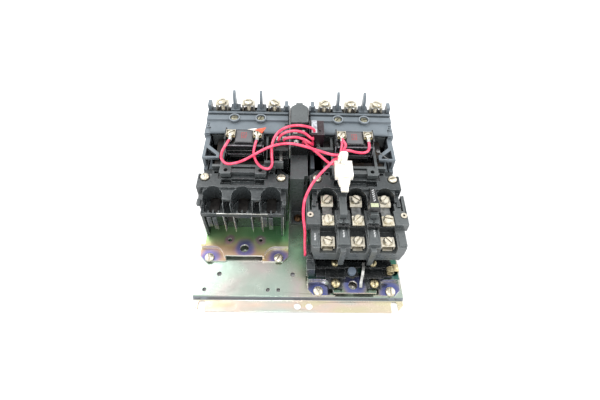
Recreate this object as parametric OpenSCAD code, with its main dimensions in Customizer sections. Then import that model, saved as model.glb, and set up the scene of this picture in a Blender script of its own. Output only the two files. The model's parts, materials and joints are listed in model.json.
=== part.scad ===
// Open reversing motor starter: two three-pole contactors side by side on one bent mounting
// plate, with a mechanical interlock between them and an overload relay on the right one.
// Lies on its mounting flanges. +Z leaves the mounting surface, +Y points to the line terminals.

/* [Mounting plate] */
// Width of the mounting plate
plate_w = 197; // [190:1:210]
// Length of the raised part of the plate, between its two bends
plate_l = 182; // [182:1:190]
// Thickness of the plate and bracket sheet
sheet = 2; // [1.5:0.1:2.2]
// Height of the top of the raised part over the mounting surface
plate_top = 6; // [5.5:0.1:6]
// Depth of each mounting flange
flange_d = 13; // [12:0.5:15]
// Radius of the mounting holes
mount_hole_r = 3.2; // [2.7:0.1:3.4]

/* [Contactors] */
// Distance between the centre lines of the two contactors
contactor_pitch = 106.2; // [105.8:0.1:107]
// Distance between neighbouring poles
pole_pitch = 27; // [26.6:0.1:27.2]
// Half width of the load terminal block
block_half_w = 42.7; // [42:0.1:42.8]
// Height of the top of the load terminal block
block_top = 68; // [67.5:0.1:68]
// Height of the top of a bracket's raised plate
bracket_top = 12.5; // [12.3:0.1:12.5]
// Travel of the crossbar when the coil pulls in
stroke = 5; // [4:0.1:5]

/* [Overload relay] */
// Half width of the relay's flange
relay_half_w = 46.3; // [45.8:0.1:46.3]
// Height of the relay's flange
relay_top = 60; // [59.5:0.1:60]
// Radius of the reset button
reset_r = 3.8; // [3:0.1:4]

/* [Fasteners] */
// Radius of a terminal screw's head
head_r = 4.5; // [4:0.1:4.6]
// Radius of a screw's shank
shank_r = 1.9; // [1.7:0.05:1.95]
// Radius of a wire's insulation
wire_r = 1.25; // [1:0.05:1.35]

/* [Hidden] */
$fn = 48;

pair_shift = -0.9;
left_x = pair_shift - contactor_pitch / 2;
right_x = pair_shift + contactor_pitch / 2;
relay_x = right_x;
poles = [-pole_pitch, 0, pole_pitch];
gaps = [-pole_pitch / 2, pole_pitch / 2];
eps = 0.5;
// Small gap that keeps fitted pieces apart
slack = 0.3;

black = [0.07, 0.075, 0.08];
grey = [0.27, 0.31, 0.34];
charcoal = [0.17, 0.18, 0.19];
zinc = [0.62, 0.70, 0.58];
steel = [0.80, 0.78, 0.70];
brass = [0.78, 0.66, 0.38];
copper = [0.72, 0.45, 0.30];
wire_red = [0.86, 0.16, 0.26];

// ---------- shared shapes ----------

// Y is written from the plate's front bend, and the origin is the middle of the plate
module at_plate() translate([0, -plate_l / 2, 0]) children();

module box(x, y, z) {
  translate([x[0], y[0], z[0]]) cube([x[1] - x[0], y[1] - y[0], z[1] - z[0]]);
}

module both() {
  children();
  mirror([1, 0, 0]) children();
}

module rod_z(x, y, z, r) translate([x, y, z[0]]) cylinder(h = z[1] - z[0], r = r);
module rod_y(x, y, z, r) translate([x, y[0], z]) rotate([-90, 0, 0]) cylinder(h = y[1] - y[0], r = r);

// Profile of [y, z] points run along X from x[0] to x[1]
module run_x(x, pts) {
  translate([x[0], 0, 0]) rotate([90, 0, 90]) linear_extrude(x[1] - x[0]) polygon(pts);
}

// Slotted pan head screw with its head's underside at z, and its shank down to z_end
module screw(x, y, z, z_end, r, h, turn = 0, shank = shank_r) {
  translate([x, y, z]) rotate([0, 0, turn]) difference() {
    union() {
      cylinder(h = h * 0.6, r = r);
      translate([0, 0, h * 0.6]) cylinder(h = h * 0.4, r1 = r, r2 = r * 0.78);
      translate([0, 0, z_end - z]) cylinder(h = z - z_end + 0.1, r = shank);
    }
    translate([-r - 1, -0.55, h * 0.55]) cube([2 * r + 2, 1.1, h]);
  }
}

// Saddle clamp: flat top over two side legs, open to the wire in front and behind
module saddle(x, y, z, half_w, depth, leg, t = 1.3) {
  difference() {
    union() {
      box([x - half_w, x + half_w], [y - depth / 2, y + depth / 2], [z - t, z]);
      box([x - half_w, x - half_w + t], [y - depth / 2, y + depth / 2], [z - t - leg, z]);
      box([x + half_w - t, x + half_w], [y - depth / 2, y + depth / 2], [z - t - leg, z]);
    }
    rod_z(x, y, [z - t - eps, z + eps], shank_r + 0.2);
  }
}

// ---------- mounting plate and brackets ----------

plate_holes = [[-76.6, 22.5, 2.2], [-5.7, 22.5, 2.2], [-88.7, 6.5, 1.8], [-29, 6.5, 1.8],
  [-19.2, 6.5, 1.8]];
mount_x = 90;
flange_hole_x = [-1.2, 9.8];
flange_hole_y = -7.5;
back_hole_y = plate_l + 7.5;
notch_y = -5.5;
bend_run = 2;
left_foot_y = 38.6;
right_foot_y = 4.5;
back_foot_y = 174.5;
foot_x = 34;
interlock_screw_pos = [pair_shift, 86];

module base_plate() color(zinc) at_plate() difference() {
  run_x([-plate_w / 2, plate_w / 2], [
    [-flange_d, 0], [-flange_d, sheet], [-bend_run, sheet], [0, plate_top], [plate_l, plate_top],
    [plate_l + bend_run, sheet], [plate_l + flange_d, sheet], [plate_l + flange_d, 0],
    [plate_l + bend_run - 1.2, 0], [plate_l - 1.2, plate_top - sheet], [1.2, plate_top - sheet],
    [1.2 - bend_run, 0]]);
  for (h = plate_holes) rod_z(h[0], h[1], [0, 20], h[2]);
  for (x = flange_hole_x) rod_z(x, flange_hole_y, [-1, 5], mount_hole_r);
  for (x = [-mount_x, mount_x]) {
    rod_z(x, back_hole_y, [-1, 5], mount_hole_r);
    rod_z(x, notch_y, [-1, 5], mount_hole_r);
    box([x - mount_hole_r, x + mount_hole_r], [-flange_d - 1, notch_y], [-1, 5]);
  }
  both() {
    translate([0, 0, -1]) linear_extrude(6) polygon([
      [plate_w / 2 + 1, -5], [mount_x + mount_hole_r, -11.5], [mount_x + mount_hole_r, -20],
      [plate_w / 2 + 1, -20]]);
    translate([0, 0, -1]) linear_extrude(6) polygon([
      [plate_w / 2 + 1, plate_l + 9], [plate_w / 2 - 6, plate_l + 20], [plate_w / 2 + 1, plate_l + 20]]);
  }
  for (s = [-1, 1]) {
    rod_z(left_x + s * foot_x, left_foot_y, [0, 20], 2);
    rod_z(right_x + s * foot_x, right_foot_y, [0, 20], 2);
    for (x = [left_x, right_x]) rod_z(x + s * foot_x, back_foot_y, [0, 20], 2);
  }
  rod_z(interlock_screw_pos[0], interlock_screw_pos[1], [0, 20], 2);
}

foot_depth = 14;
foot_in = 20;
foot_out = 43.7;
foot_r = 11;
bracket_back = 180;
back_foot_front = 166;

// Outline of one foot at the right front corner, with its inner back corner round
module foot_2d(y_front, grow) {
  r = foot_r + grow;
  y_back = y_front + foot_depth + grow;
  difference() {
    polygon([[foot_in - grow, y_front], [foot_in - grow, y_back], [foot_out, y_back],
      [foot_out, y_front + 5.5], [foot_out - 5.5, y_front]]);
    translate([foot_in - grow, y_back - r]) square(r);
  }
  intersection() {
    translate([foot_in - grow + r, y_back - r]) circle(r);
    translate([foot_in - grow, y_back - r - eps]) square(r + eps);
  }
}

// Foot pressed down to the mounting plate, with the step wall that joins it to the raised plate
module foot(y_front) {
  translate([0, 0, plate_top]) linear_extrude(sheet) foot_2d(y_front, sheet);
  translate([0, 0, plate_top]) linear_extrude(bracket_top - plate_top) difference() {
    foot_2d(y_front, sheet);
    foot_2d(y_front, 0);
    translate([foot_in - 10, y_front - 1]) square([60, 4]);
  }
}

// Puts the right front corner's shape at the right back corner
module at_back() translate([0, bracket_back + back_foot_front, 0]) mirror([0, 1, 0]) children();

// Bracket under one contactor, in the contactor's own X
module bracket(x0, x1, y_screw, y_lip, y_foot) {
  difference() {
    union() {
      difference() {
        box([x0, x1], [y_lip, bracket_back], [bracket_top - sheet, bracket_top]);
        both() translate([0, 0, bracket_top - 5]) linear_extrude(10) {
          foot_2d(y_foot, 0);
          translate([foot_in, y_foot - 9]) square([30, 10]);
          translate([foot_in + 4, y_foot + 1]) square([30, foot_depth - 1.5]);
        }
        both() at_back() translate([0, 0, bracket_top - 5]) linear_extrude(10) {
          foot_2d(back_foot_front, 0);
          translate([foot_in + 4, back_foot_front - 1]) square([30, foot_depth]);
        }
      }
      both() {
        foot(y_foot);
        at_back() foot(back_foot_front);
      }
    }
    both() {
      rod_z(foot_x, y_screw, [0, 20], 2.4);
      rod_z(foot_x, back_foot_y, [0, 20], 2.4);
      rod_z(block_screw[0], block_screw[1], [0, 20], 2);
      rod_z(pole_pitch / 2, 160, [0, 20], 2);
    }
  }
}

module left_bracket() color(zinc) at_plate() translate([left_x, 0, 0]) difference() {
  bracket(-39.4, 43.7, left_foot_y, left_foot_y + 0.6, left_foot_y - 3.2);
  for (x = [-15.4, 15.4]) rod_z(x, 56.9, [0, 20], 2);
  rod_z(0, 47.2, [0, 20], 4.2);
}

module right_bracket() color(zinc) at_plate() translate([right_x, 0, 0]) difference() {
  bracket(-43.7, 43.3, right_foot_y, 1.4, 0.8);
  rod_z(-1.5, 9.1, [0, 20], 4.2);
  both() rod_z(relay_screw_x, relay_screw_y, [0, 20], 2);
}

module bracket_screws() color(steel) at_plate() {
  for (s = [-1, 1]) {
    screw(left_x + s * foot_x, left_foot_y, 8, 1, 4.6, 3, 20 * s + 80);
    screw(right_x + s * foot_x, right_foot_y, 8, 1, 4.6, 3, 90 - 15 * s);
    for (x = [left_x, right_x]) screw(x + s * foot_x, back_foot_y, 8, 1, 4.6, 3, 40 * s);
  }
}

// ---------- load terminal blocks ----------

block_front = 62;
block_low_half = 39;
ledge_top = 51;
bay_r = 9.3;
bay_y = 72.3;
bay_floor = 47;
post_front = 70;
post_back = 80;
post_half_w = 40.5;
post_top = 66;
end_post_top = 62;
block_back = 108.8;
block_mid_back = 101;
fin_x = [8, 17.5, 37];
block_screw = [36, 92.5];
screw_seat = 66.8;

module load_block(side) {
  difference() {
    union() {
      box([-block_low_half, block_low_half], [block_front, 80], [bracket_top, ledge_top]);
      box([-block_half_w, block_half_w], [post_back, block_mid_back], [bracket_top, block_top]);
      box([-post_half_w, post_half_w], [post_front, post_back + 1], [bracket_top, post_top]);
      both() translate([0, 0, bracket_top]) linear_extrude(block_top - bracket_top) polygon([
        [31.5, 95], [block_half_w, 95], [block_half_w, 101], [block_half_w - 7.8, block_back],
        [31.5, block_back]]);
    }
    // three conductor bays, open in front and on top
    for (x = poles) {
      rod_z(x, bay_y, [bay_floor, 90], bay_r);
      box([x - bay_r, x + bay_r], [40, bay_y], [bay_floor + 4, 90]);
      box([x - bay_r, x + bay_r], [block_front + 2, bay_y], [bay_floor, 60]);
      // slot that the load strap comes up through
      box([x - 5.5, x + 5.5], [79, 82.5], [14, bay_floor + 2]);
      box([x - 5.5, x + 5.5], [79, 130], [14, 21]);
    }
    // slots down the fronts of the posts
    for (x = gaps) box([x - 2.4, x + 2.4], [post_front - 1, post_front + 3], [ledge_top, post_top - 5]);
    both() {
      // lower tops of the end posts
      box([pole_pitch + bay_r - 0.1, 60], [post_front - 1, post_back], [end_post_top, 90]);
      // pockets in front of the crossbar's lugs
      box([11, 20.5], [83.6, 90], [62.5, 80]);
      // hollows between the fins, open below
      box([-fin_x[0] + 0.7, 0.1], [block_front - 1, 72], [0, 44]);
      box([fin_x[0] + 0.7, fin_x[1] - 0.7], [block_front - 1, 70], [0, 46]);
      box([fin_x[1] + 0.7, fin_x[2] - 0.7], [block_front - 1, 74], [0, 46]);
      box([fin_x[0] - 1, fin_x[1] + 1], [block_front - 1, 72], [0, 24]);
      // pocket round each fixing screw, and the small square hole beside it
      box([29.5, 60], [96.5, 120], [61, 80]);
      rod_z(block_screw[0], block_screw[1], [screw_seat, 80], 5.6);
      rod_z(block_screw[0], block_screw[1], [0, 80], 2.3);
      box([24.5, 28], [97.2, 99.8], [60, 80]);
      // clearance under the crossbar's lugs
      box([11, 24], [90.5, 120], [block_top - 1.5, 80]);
      // side ribs in relief
      box([block_half_w - 0.8, 60], [84, 90], [16, 60]);
    }
    // recess in front of the crossbar's bridge
    box([-11.2, 11.2], [82.6, 90.5], [64, 80]);
    // notch that the interlock arm slides through
    box(side > 0 ? [30, 60] : [-60, -30], [100, 120], [50.5, 58.5]);
  }
  // guide ribs that stand on the bay floors
  for (x = poles, k = [-1, 0, 1])
    box([x + k * 5 - 0.6, x + k * 5 + 0.6], [block_front + 1, block_front + 3.6],
      [bay_floor - 1, ledge_top + 1.5 - abs(k)]);
}

module left_load_block() color(black) at_plate() translate([left_x, 0, 0]) load_block(1);
module right_load_block() color(black) at_plate() translate([right_x, 0, 0]) load_block(-1);

module load_block_screws() color(steel) at_plate() {
  for (x = [left_x, right_x], s = [-1, 1])
    screw(x + s * block_screw[0], block_screw[1], screw_seat, 9, 4.2, 3.6, 50 * s + 60);
}

// ---------- contact bodies and covers ----------

body_half_w = 43;
body_front = 142;
body_back = 181;
body_top = 76;
shelf_z = 79;
chamber_half_w = 37;
cover_half_w = 41.7;
cover_screw = [pole_pitch / 2, 160];
arm_x_side = [37.5, 41.5];

// inner is +1 where the other contactor is on the +X side
module contact_body(inner) {
  difference() {
    union() {
      box([-body_half_w, body_half_w], [body_front, body_back], [bracket_top, body_top]);
      box([-body_half_w, body_half_w], [169.8, body_back], [body_top - 1, shelf_z]);
      for (x = gaps) box([x - 4.8, x + 4.8], [170.3, 180.5], [shelf_z - 1, 84]);
      both() box([37.8, 41.4], [171, 180], [shelf_z - 1, 89]);
      box(inner > 0 ? [36.2, 43] : [-43, -36.2], [171, 179], [shelf_z - 1, 84]);
      // side arms: the outer one reaches the load block, the inner one clears the interlock
      mirror([inner > 0 ? 1 : 0, 0]) box(arm_x_side, [block_back + 0.4, body_front + 1], [24, 59.5]);
      mirror([inner > 0 ? 0 : 1, 0]) box(arm_x_side, [112.6, body_front + 1], [24, 59.5]);
    }
    // contact chamber, open in front and on top
    box([-chamber_half_w, chamber_half_w], [100, 168], [17, 90]);
    for (x = poles) {
      // channel behind the chamber for the line strap, and the screw well under it
      box([x - 5.2, x + 5.2], [167, 174], [70.5, 90]);
      rod_z(x, 175.5, [66, 90], 2.5);
      // slot in the floor for the load strap
      box([x - 5.2, x + 5.2], [130, 167], [14, 20]);
    }
    both() {
      rod_z(cover_screw[0], cover_screw[1], [0, 20], 2.1);
      // windows and steps in the side walls
      box([42, 50], [146, 160], [30, 66]);
      box([41.2, 50], [body_front - 1, 146], [58, 70]);
      // triangular opening in each arm
      translate([60, 0, 0]) rotate([90, 0, -90]) linear_extrude(40)
        polygon([[-114, 54], [-136, 54], [-114, 32]]);
    }
  }
  // posts that the cover screws pass through, and short barriers between the poles
  both() difference() {
    union() {
      rod_z(cover_screw[0], cover_screw[1], [16, body_top], 4.2);
      box([cover_screw[0] - 1, cover_screw[0] + 1], [160, 168.5], [16, body_top]);
    }
    rod_z(cover_screw[0], cover_screw[1], [0, 90], 2.1);
  }
  // top web over the outer side of the coil, with a triangular window
  translate([0, 0, 69.6]) mirror([inner > 0 ? 0 : 1, 0]) linear_extrude(3.2) difference() {
    polygon([[-41.5, 113], [-41.5, body_front + 0.1], [-36.5, body_front + 0.1], [-36.5, 130],
      [-25, 119], [-25, 113]]);
    polygon([[-39, 115], [-39, 127], [-28, 117.2], [-28, 115]]);
  }
  mirror([inner > 0 ? 0 : 1, 0]) box([-41.5, -38.5], [113, body_front + 1], [59, 72.8]);
}

module left_contact_body() color(grey) at_plate() translate([left_x, 0, 0]) contact_body(1);
module right_contact_body() color(grey) at_plate() translate([right_x, 0, 0]) contact_body(-1);

module contact_cover() {
  difference() {
    union() {
      run_x([-cover_half_w, cover_half_w], [
        [142.5, body_top], [142.5, 77.6], [144, 79], [157.2, 79.6], [158, 82], [164.4, 82],
        [165, 80.4], [166.6, 80.4], [166.6, 83], [169.5, 83], [169.5, body_top]]);
      for (x = gaps) rod_z(x, cover_screw[1], [77, 82.4], 5.4);
    }
    for (x = gaps) {
      rod_z(x, cover_screw[1], [70, 90], 2.1);
      rod_z(x, cover_screw[1], [81.2, 90], 4.3);
    }
    both() {
      box([36.5, 50], [140, 149.5], [77.2, 90]);
      box([38.3, 50], [149, 155], [78.4, 90]);
      rod_z(39, 152, [70, 90], 0.9);
    }
  }
}

module left_contact_cover() color(grey) at_plate() translate([left_x, 0, 0]) contact_cover();
module right_contact_cover() color(grey) at_plate() translate([right_x, 0, 0]) contact_cover();

module cover_screws() color(brass) at_plate() {
  for (x = [left_x, right_x], s = [-1, 1])
    screw(x + s * cover_screw[0], cover_screw[1], 81.2, 9, 3.5, 2, 30 * s + 35);
}

// ---------- magnets and coils ----------

core_z = [44, 69];
core_face = 117.6;
coil_half_w = 18.5;
coil_y = [118.5, 133.5];
coil_deck = [84, 88];
coil_term_x = 12.8;
coil_term_y = 129;

module magnet_core() {
  box([-29, 29], [134, 141.8], core_z);
  box([-6, 6], [core_face, 134.1], core_z);
  both() box([23, 29], [core_face, 134.1], core_z);
  // shelf that carries the core and the coil, on legs between the load straps
  box([-22, 22], [134.6, 141.4], [21.6, core_z[0] + 0.1]);
  both() box([8, 20], [134.6, 141.4], [bracket_top, 21.7]);
}

module left_magnet_core() color([0.2, 0.2, 0.22]) at_plate() translate([left_x, 0, 0]) magnet_core();
module right_magnet_core() color([0.2, 0.2, 0.22]) at_plate() translate([right_x, 0, 0]) magnet_core();

module coil() {
  difference() {
    union() {
      box([-coil_half_w, coil_half_w], coil_y, [33, 83]);
      box([-17, 17], [coil_y[0] - 0.4, coil_y[1]], [75.5, 77]);
      box([-17.6, 17.6], [coil_y[0], 136.5], [82, coil_deck[1]]);
      both() box([17, 18.5], [121, 136.5], [80, 90.5]);
    }
    box([-6.2, 6.2], [110, 140], [core_z[0] - 0.2, core_z[1] + 0.2]);
    for (s = [-1, 1]) {
      box([s * coil_term_x - 4.2, s * coil_term_x + 4.2], [118, 126], [85.6, 92]);
      rod_z(s * coil_term_x, coil_term_y, [80, 92], 2.2);
    }
  }
}

module left_coil() color(black) at_plate() translate([left_x, 0, 0]) coil();
module right_coil() color(black) at_plate() translate([right_x, 0, 0]) coil();

module coil_plates() color([0.35, 0.37, 0.38]) at_plate() {
  for (x = [left_x, right_x]) box([x - 7.8, x + 7.4], [119.2, 134.6], [coil_deck[1], coil_deck[1] + 0.6]);
}

module coil_terminals() color(brass) at_plate() {
  for (x = [left_x, right_x], s = [-1, 1]) translate([x + s * coil_term_x, coil_term_y, 0]) difference() {
    union() {
      box([-4, 4], [-4.2, 4.2], [coil_deck[1], coil_deck[1] + 1.2]);
      // barrel that grips the wire
      rod_y(0, [-5.5, -4], coil_deck[1] + 1.4, 1.6);
    }
    rod_z(0, 0, [80, 95], 2);
  }
}

module coil_screws() color(steel) at_plate() {
  for (x = [left_x, right_x], s = [-1, 1])
    screw(x + s * coil_term_x, coil_term_y, coil_deck[1] + 1.2, 81, 3.6, 2.4, 25 * s + 60);
}

armature_y = [104.4, 112.5];

module armature() {
  box([-29, 29], armature_y, core_z);
  both() box([14, 17], [armature_y[0] + 0.1, 112.9], [core_z[0] + 3, core_z[1] - 3]);
}

module left_armature() color([0.3, 0.3, 0.33]) at_plate() translate([left_x, 0, 0]) armature();
module right_armature() color([0.3, 0.3, 0.33]) at_plate() translate([right_x, 0, 0]) armature();

// ---------- crossbar, which carries the moving contacts ----------

arm_x = [19.5, 22];
arm_z = [69.5, 74];
carrier_y = [143, 149];
beam_y = [101.6, 104.4];
finger_z = [70, 79];

// inner is +1 where the other contactor is on the +X side
module crossbar(inner, finger_y, finger_x) {
  difference() {
    union() {
      both() {
        box(arm_x, [93, carrier_y[1]], arm_z);
        box([11.5, 21], [92, 101.6], [68.3, arm_z[1]]);
      }
      box([-12, 12], [95, 99.5], [68.3, 72.5]);
      box([-30, 30], beam_y, [46, arm_z[1] - 1]);
      box([-35, 35], carrier_y, [36, arm_z[1]]);
      box(inner > 0 ? [29, 48.4] : [-48.4, -29], beam_y, [52, 57]);
      // finger that pushes the auxiliary contact's plunger
      mirror([inner > 0 ? 0 : 1, 0]) box([20, finger_x], finger_y, finger_z);
    }
    both() rod_z(16.3, 96.5, [60, 80], 2);
    // hollows behind the contact springs
    for (x = poles) box([x - 6, x + 6], [carrier_y[0] - 1, carrier_y[0] + 2.5], [40, 60]);
  }
}

module left_crossbar() color(charcoal) at_plate() translate([left_x, 0, 0])
  crossbar(1, [101.8, 104.4], 37.8);
module right_crossbar() color(charcoal) at_plate() translate([right_x, 0, 0])
  crossbar(-1, [120, 123], 37);

contact_y = [156.5, 158];

module moving_contacts() {
  for (x = poles) {
    box([x - 4.5, x + 4.5], contact_y, [34, 66]);
  }
}

module left_moving_contacts() color(copper) at_plate() translate([left_x, 0, 0]) moving_contacts();
module right_moving_contacts() color(copper) at_plate() translate([right_x, 0, 0]) moving_contacts();

module contact_springs() {
  for (x = poles) difference() {
    rod_y(x, [carrier_y[1], contact_y[0]], 50, 3.6);
    rod_y(x, [carrier_y[1] - 1, contact_y[0] + 1], 50, 2.7);
  }
}

module left_contact_springs() color(steel) at_plate() translate([left_x, 0, 0]) contact_springs();
module right_contact_springs() color(steel) at_plate() translate([right_x, 0, 0]) contact_springs();

// ---------- fixed contacts and line terminals ----------

tip_y = contact_y[1] + stroke + 0.05;
strap_half_w = 4.5;
line_y = 175.5;
clamp_top = 89.4;

module line_contacts() color(copper) at_plate() {
  for (c = [left_x, right_x], x = poles) translate([c + x, 0, 0]) {
    difference() {
      run_x([-strap_half_w, strap_half_w], [
        [164.5, 57], [166, 57], [166, 71.5], [173.5, 71.5], [173.5, shelf_z], [180.5, shelf_z],
        [180.5, shelf_z + 1.5], [172, shelf_z + 1.5], [172, 73], [164.5, 73]]);
      rod_z(0, line_y, [60, 90], 2);
    }
    rod_y(0, [tip_y, 164.6], 61, 3.2);
  }
}

module load_contacts() color(copper) at_plate() {
  for (c = [left_x, right_x], x = poles) translate([c + x, 0, 0]) {
    run_x([-strap_half_w, strap_half_w], [
      [166, 43], [166, 17.5], [80.3, 17.5], [80.3, bay_floor], [66, bay_floor], [66, bay_floor + 1.5],
      [81.8, bay_floor + 1.5], [81.8, 19], [164.5, 19], [164.5, 43]]);
    rod_y(0, [tip_y, 164.6], 39, 3.2);
  }
}

module line_clamps() color(steel) at_plate() {
  for (c = [left_x, right_x], x = poles) saddle(c + x, line_y, clamp_top, 6.4, 8.4, 8.6);
}

module line_screws() color(steel) at_plate() {
  for (c = [left_x, right_x], i = [0:2])
    screw(c + poles[i], line_y, clamp_top, 72, head_r, 3.3, 25 + 40 * i);
}

barrier_t = 2.8;

module phase_barriers() color(charcoal) at_plate() {
  for (c = [left_x, right_x], x = gaps)
    run_x([c + x - barrier_t / 2, c + x + barrier_t / 2], [
      [171.5, 84], [171.5, 92], [173, 97], [176, 100.5], [180, 101.5], [180.2, 96], [180.2, 84]]);
}

// ---------- mechanical interlock between the contactors ----------

lock_x = [-9.4, 7.6];
lock_y = [95, 176];
lock_top = 64;
rail_x = [-10.7, 8.9];
rail_y = [176, 180.5];
rail_top = 80;
lever_pivot = [pair_shift, 116];
lever_z = [51.5, 57.5];
pin_r = 1.8;

module interlock_housing() color(charcoal) at_plate() difference() {
  union() {
    box(lock_x, [lock_y[0] + 4, lock_y[1]], [plate_top, lock_top]);
    box([lock_x[0], lock_x[1] - 3.5], [lock_y[0], lock_y[0] + 10], [plate_top, lock_top]);
    box([lock_x[0] + 1.5, lock_x[1] - 1.5], [80, lock_y[0] + 5], [plate_top, 9]);
    // rail behind the cap that closes the gap between the two contact bodies
    box(rail_x, rail_y, [plate_top, rail_top]);
  }
  box([pair_shift - 4, pair_shift + 4], [lock_y[1] - 1, 190], [lock_top + 11.6, 90]);
  // lever chamber, with windows to both crossbars
  box([lock_x[0] + 1.6, lock_x[1] - 1.6], [99, 123], [49.5, 59.5]);
  box([-30, 30], [100.6, 115.8], [50.5, 58.5]);
  rod_z(lever_pivot[0], lever_pivot[1], [40, 61], pin_r);
  rod_z(interlock_screw_pos[0], interlock_screw_pos[1], [0, 20], 2.3);
}

module interlock_pin() color(steel) at_plate()
  rod_z(lever_pivot[0], lever_pivot[1], [40.2, 60.8], pin_r - 0.02);

// Rocker: the nose on the left sits lower, because the left crossbar turns it
module interlock_lever() color(brass) at_plate() difference() {
  union() {
    rod_z(lever_pivot[0], lever_pivot[1], lever_z, 3.8);
    translate([lever_pivot[0], 0, lever_z[0]]) linear_extrude(lever_z[1] - lever_z[0])
      polygon([[-3.4, 116], [-6.4, 113.5], [-6.4, 109], [-5, 108.3], [-3.8, 109.5], [-2, 113]]);
    translate([lever_pivot[0], 0, lever_z[0]]) linear_extrude(lever_z[1] - lever_z[0])
      polygon([[3.4, 116], [6.2, 114.5], [6.2, 111.6], [5, 111], [3.8, 112], [2, 113]]);
  }
  rod_z(lever_pivot[0], lever_pivot[1], [40, 70], pin_r + 0.05);
}

module interlock_screw() color(brass) at_plate()
  screw(interlock_screw_pos[0], interlock_screw_pos[1], 9, 1, 4.4, 3, 70);

module interlock_cap() color(charcoal) at_plate() {
  z0 = lock_top;
  translate([0, 0, z0]) linear_extrude(24) polygon([
    [lock_x[0], 148.6], [lock_x[1], 148.6], [lock_x[1], 172.2], [lock_x[1] - 4, 175.7],
    [lock_x[0] + 4, 175.7], [lock_x[0], 172.2]]);
  box([pair_shift - 3.6, pair_shift + 3.6], [175, 180.5], [z0 + 12, z0 + 22.5]);
}

// ---------- auxiliary contact blocks ----------

plunger_r = 2;
left_plunger = [left_x + 35.3, 77];
right_plunger = [right_x - 34.5, 76];

module left_aux_block() color(black) at_plate() difference() {
  union() {
    box([-25.4, -11.5], [112.2, 130], [73.4, 85]);
    box([-23, -13.6], [119, 128], [84, 87]);
    // round-topped support plate that stands on the bracket
    box([-24.3, -11.5], [109.9, 112.2], [bracket_top, 66]);
    translate([-17.9, 112.2, 66]) rotate([90, 0, 0]) cylinder(h = 2.3, r = 6.4);
    box([-24.3, -11.5], [109.9, 113], [66, 76]);
  }
  // notch over the pole's load strap
  box([-26, -22], [105, 115], [16, 20.5]);
  rod_y(left_plunger[0], [100, 124], left_plunger[1], plunger_r + 0.08);
  for (x = [-21, -15.6]) rod_z(x, 123.5, [84, 90], 1.5);
}

module right_aux_block() color(black) at_plate() difference() {
  union() {
    box([8.5, 23], [129, 141.6], [62, 90]);
    box([8.5, 23], [129, 149], [83.4, 90]);
    box([10.4, 16.4], [129.8, 148.6], [89, 91]);
  }
  rod_y(right_plunger[0], [120, 137], right_plunger[1], plunger_r + 0.08);
  for (z = [61, 91]) translate([8.5, 129, z]) rotate([0, 0, 45]) cube([2.2, 2.2, 6], center = true);
  translate([19, 133, 90]) cube([3, 5, 2], center = true);
}

module centre_aux_block() color(black) at_plate() difference() {
  union() {
    box([-9, 7.2], [126, 147], [lock_top, 76]);
    box([-8, 6.2], [136, 147], [75, 81]);
    box([-7, -1], [127.5, 133.5], [75, 78]);
  }
  for (x = [-5, 3]) rod_z(x, 141.5, [78, 90], 1.8);
  rod_z(3, 130.5, [73, 90], 1.8);
}

module left_aux_plunger() color(steel) at_plate()
  rod_y(left_plunger[0], [104.4, 117], left_plunger[1], plunger_r);
module right_aux_plunger() color(steel) at_plate()
  rod_y(right_plunger[0], [123, 131], right_plunger[1], plunger_r);

// ---------- overload relay ----------

relay_screw_x = 18;
relay_screw_y = 9;
relay_post_top = 57;
relay_front = 26;
relay_floor = 31;
row1_y = 74;
row2_y = 50;
row3_y = 34.5;
row1_z = 60;
row2_z = 61.5;
row3_z = 50;
reset_pos = [-2.7, 19];
reset_travel = 2.5;

module relay_base() color(black) at_plate() translate([relay_x, 0, 0]) difference() {
  union() {
    box([-36, 36], [24, 60], [bracket_top, 19.5]);
    both() {
      box([11.5, 24.5], [5, 25], [bracket_top, 15]);
      box([9, 27], [13.4, 25], [bracket_top, 17.5]);
      box([26, 36], [16, 25], [bracket_top, 16.5]);
      // pillars that carry the relay body
      box([28, 35], [44, 59], [19, relay_floor]);
    }
    box([reset_pos[0] - 6, reset_pos[0] + 6], [14.5, 25], [bracket_top, 19]);
  }
  both() {
    rod_z(relay_screw_x, relay_screw_y, [0, 40], 2.2);
    box([relay_screw_x - 1.2, relay_screw_x + 1.2], [0, relay_screw_y], [0, 40]);
    rod_z(relay_screw_x, 28, [8, 40], 2);
    box([28, 36.5], [30, 41], [17, 30]);
  }
  rod_z(reset_pos[0], reset_pos[1], [bracket_top + 1, 40], reset_r + 0.06);
  box([-12, 12], [30, 52], [15, 30]);
}

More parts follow.
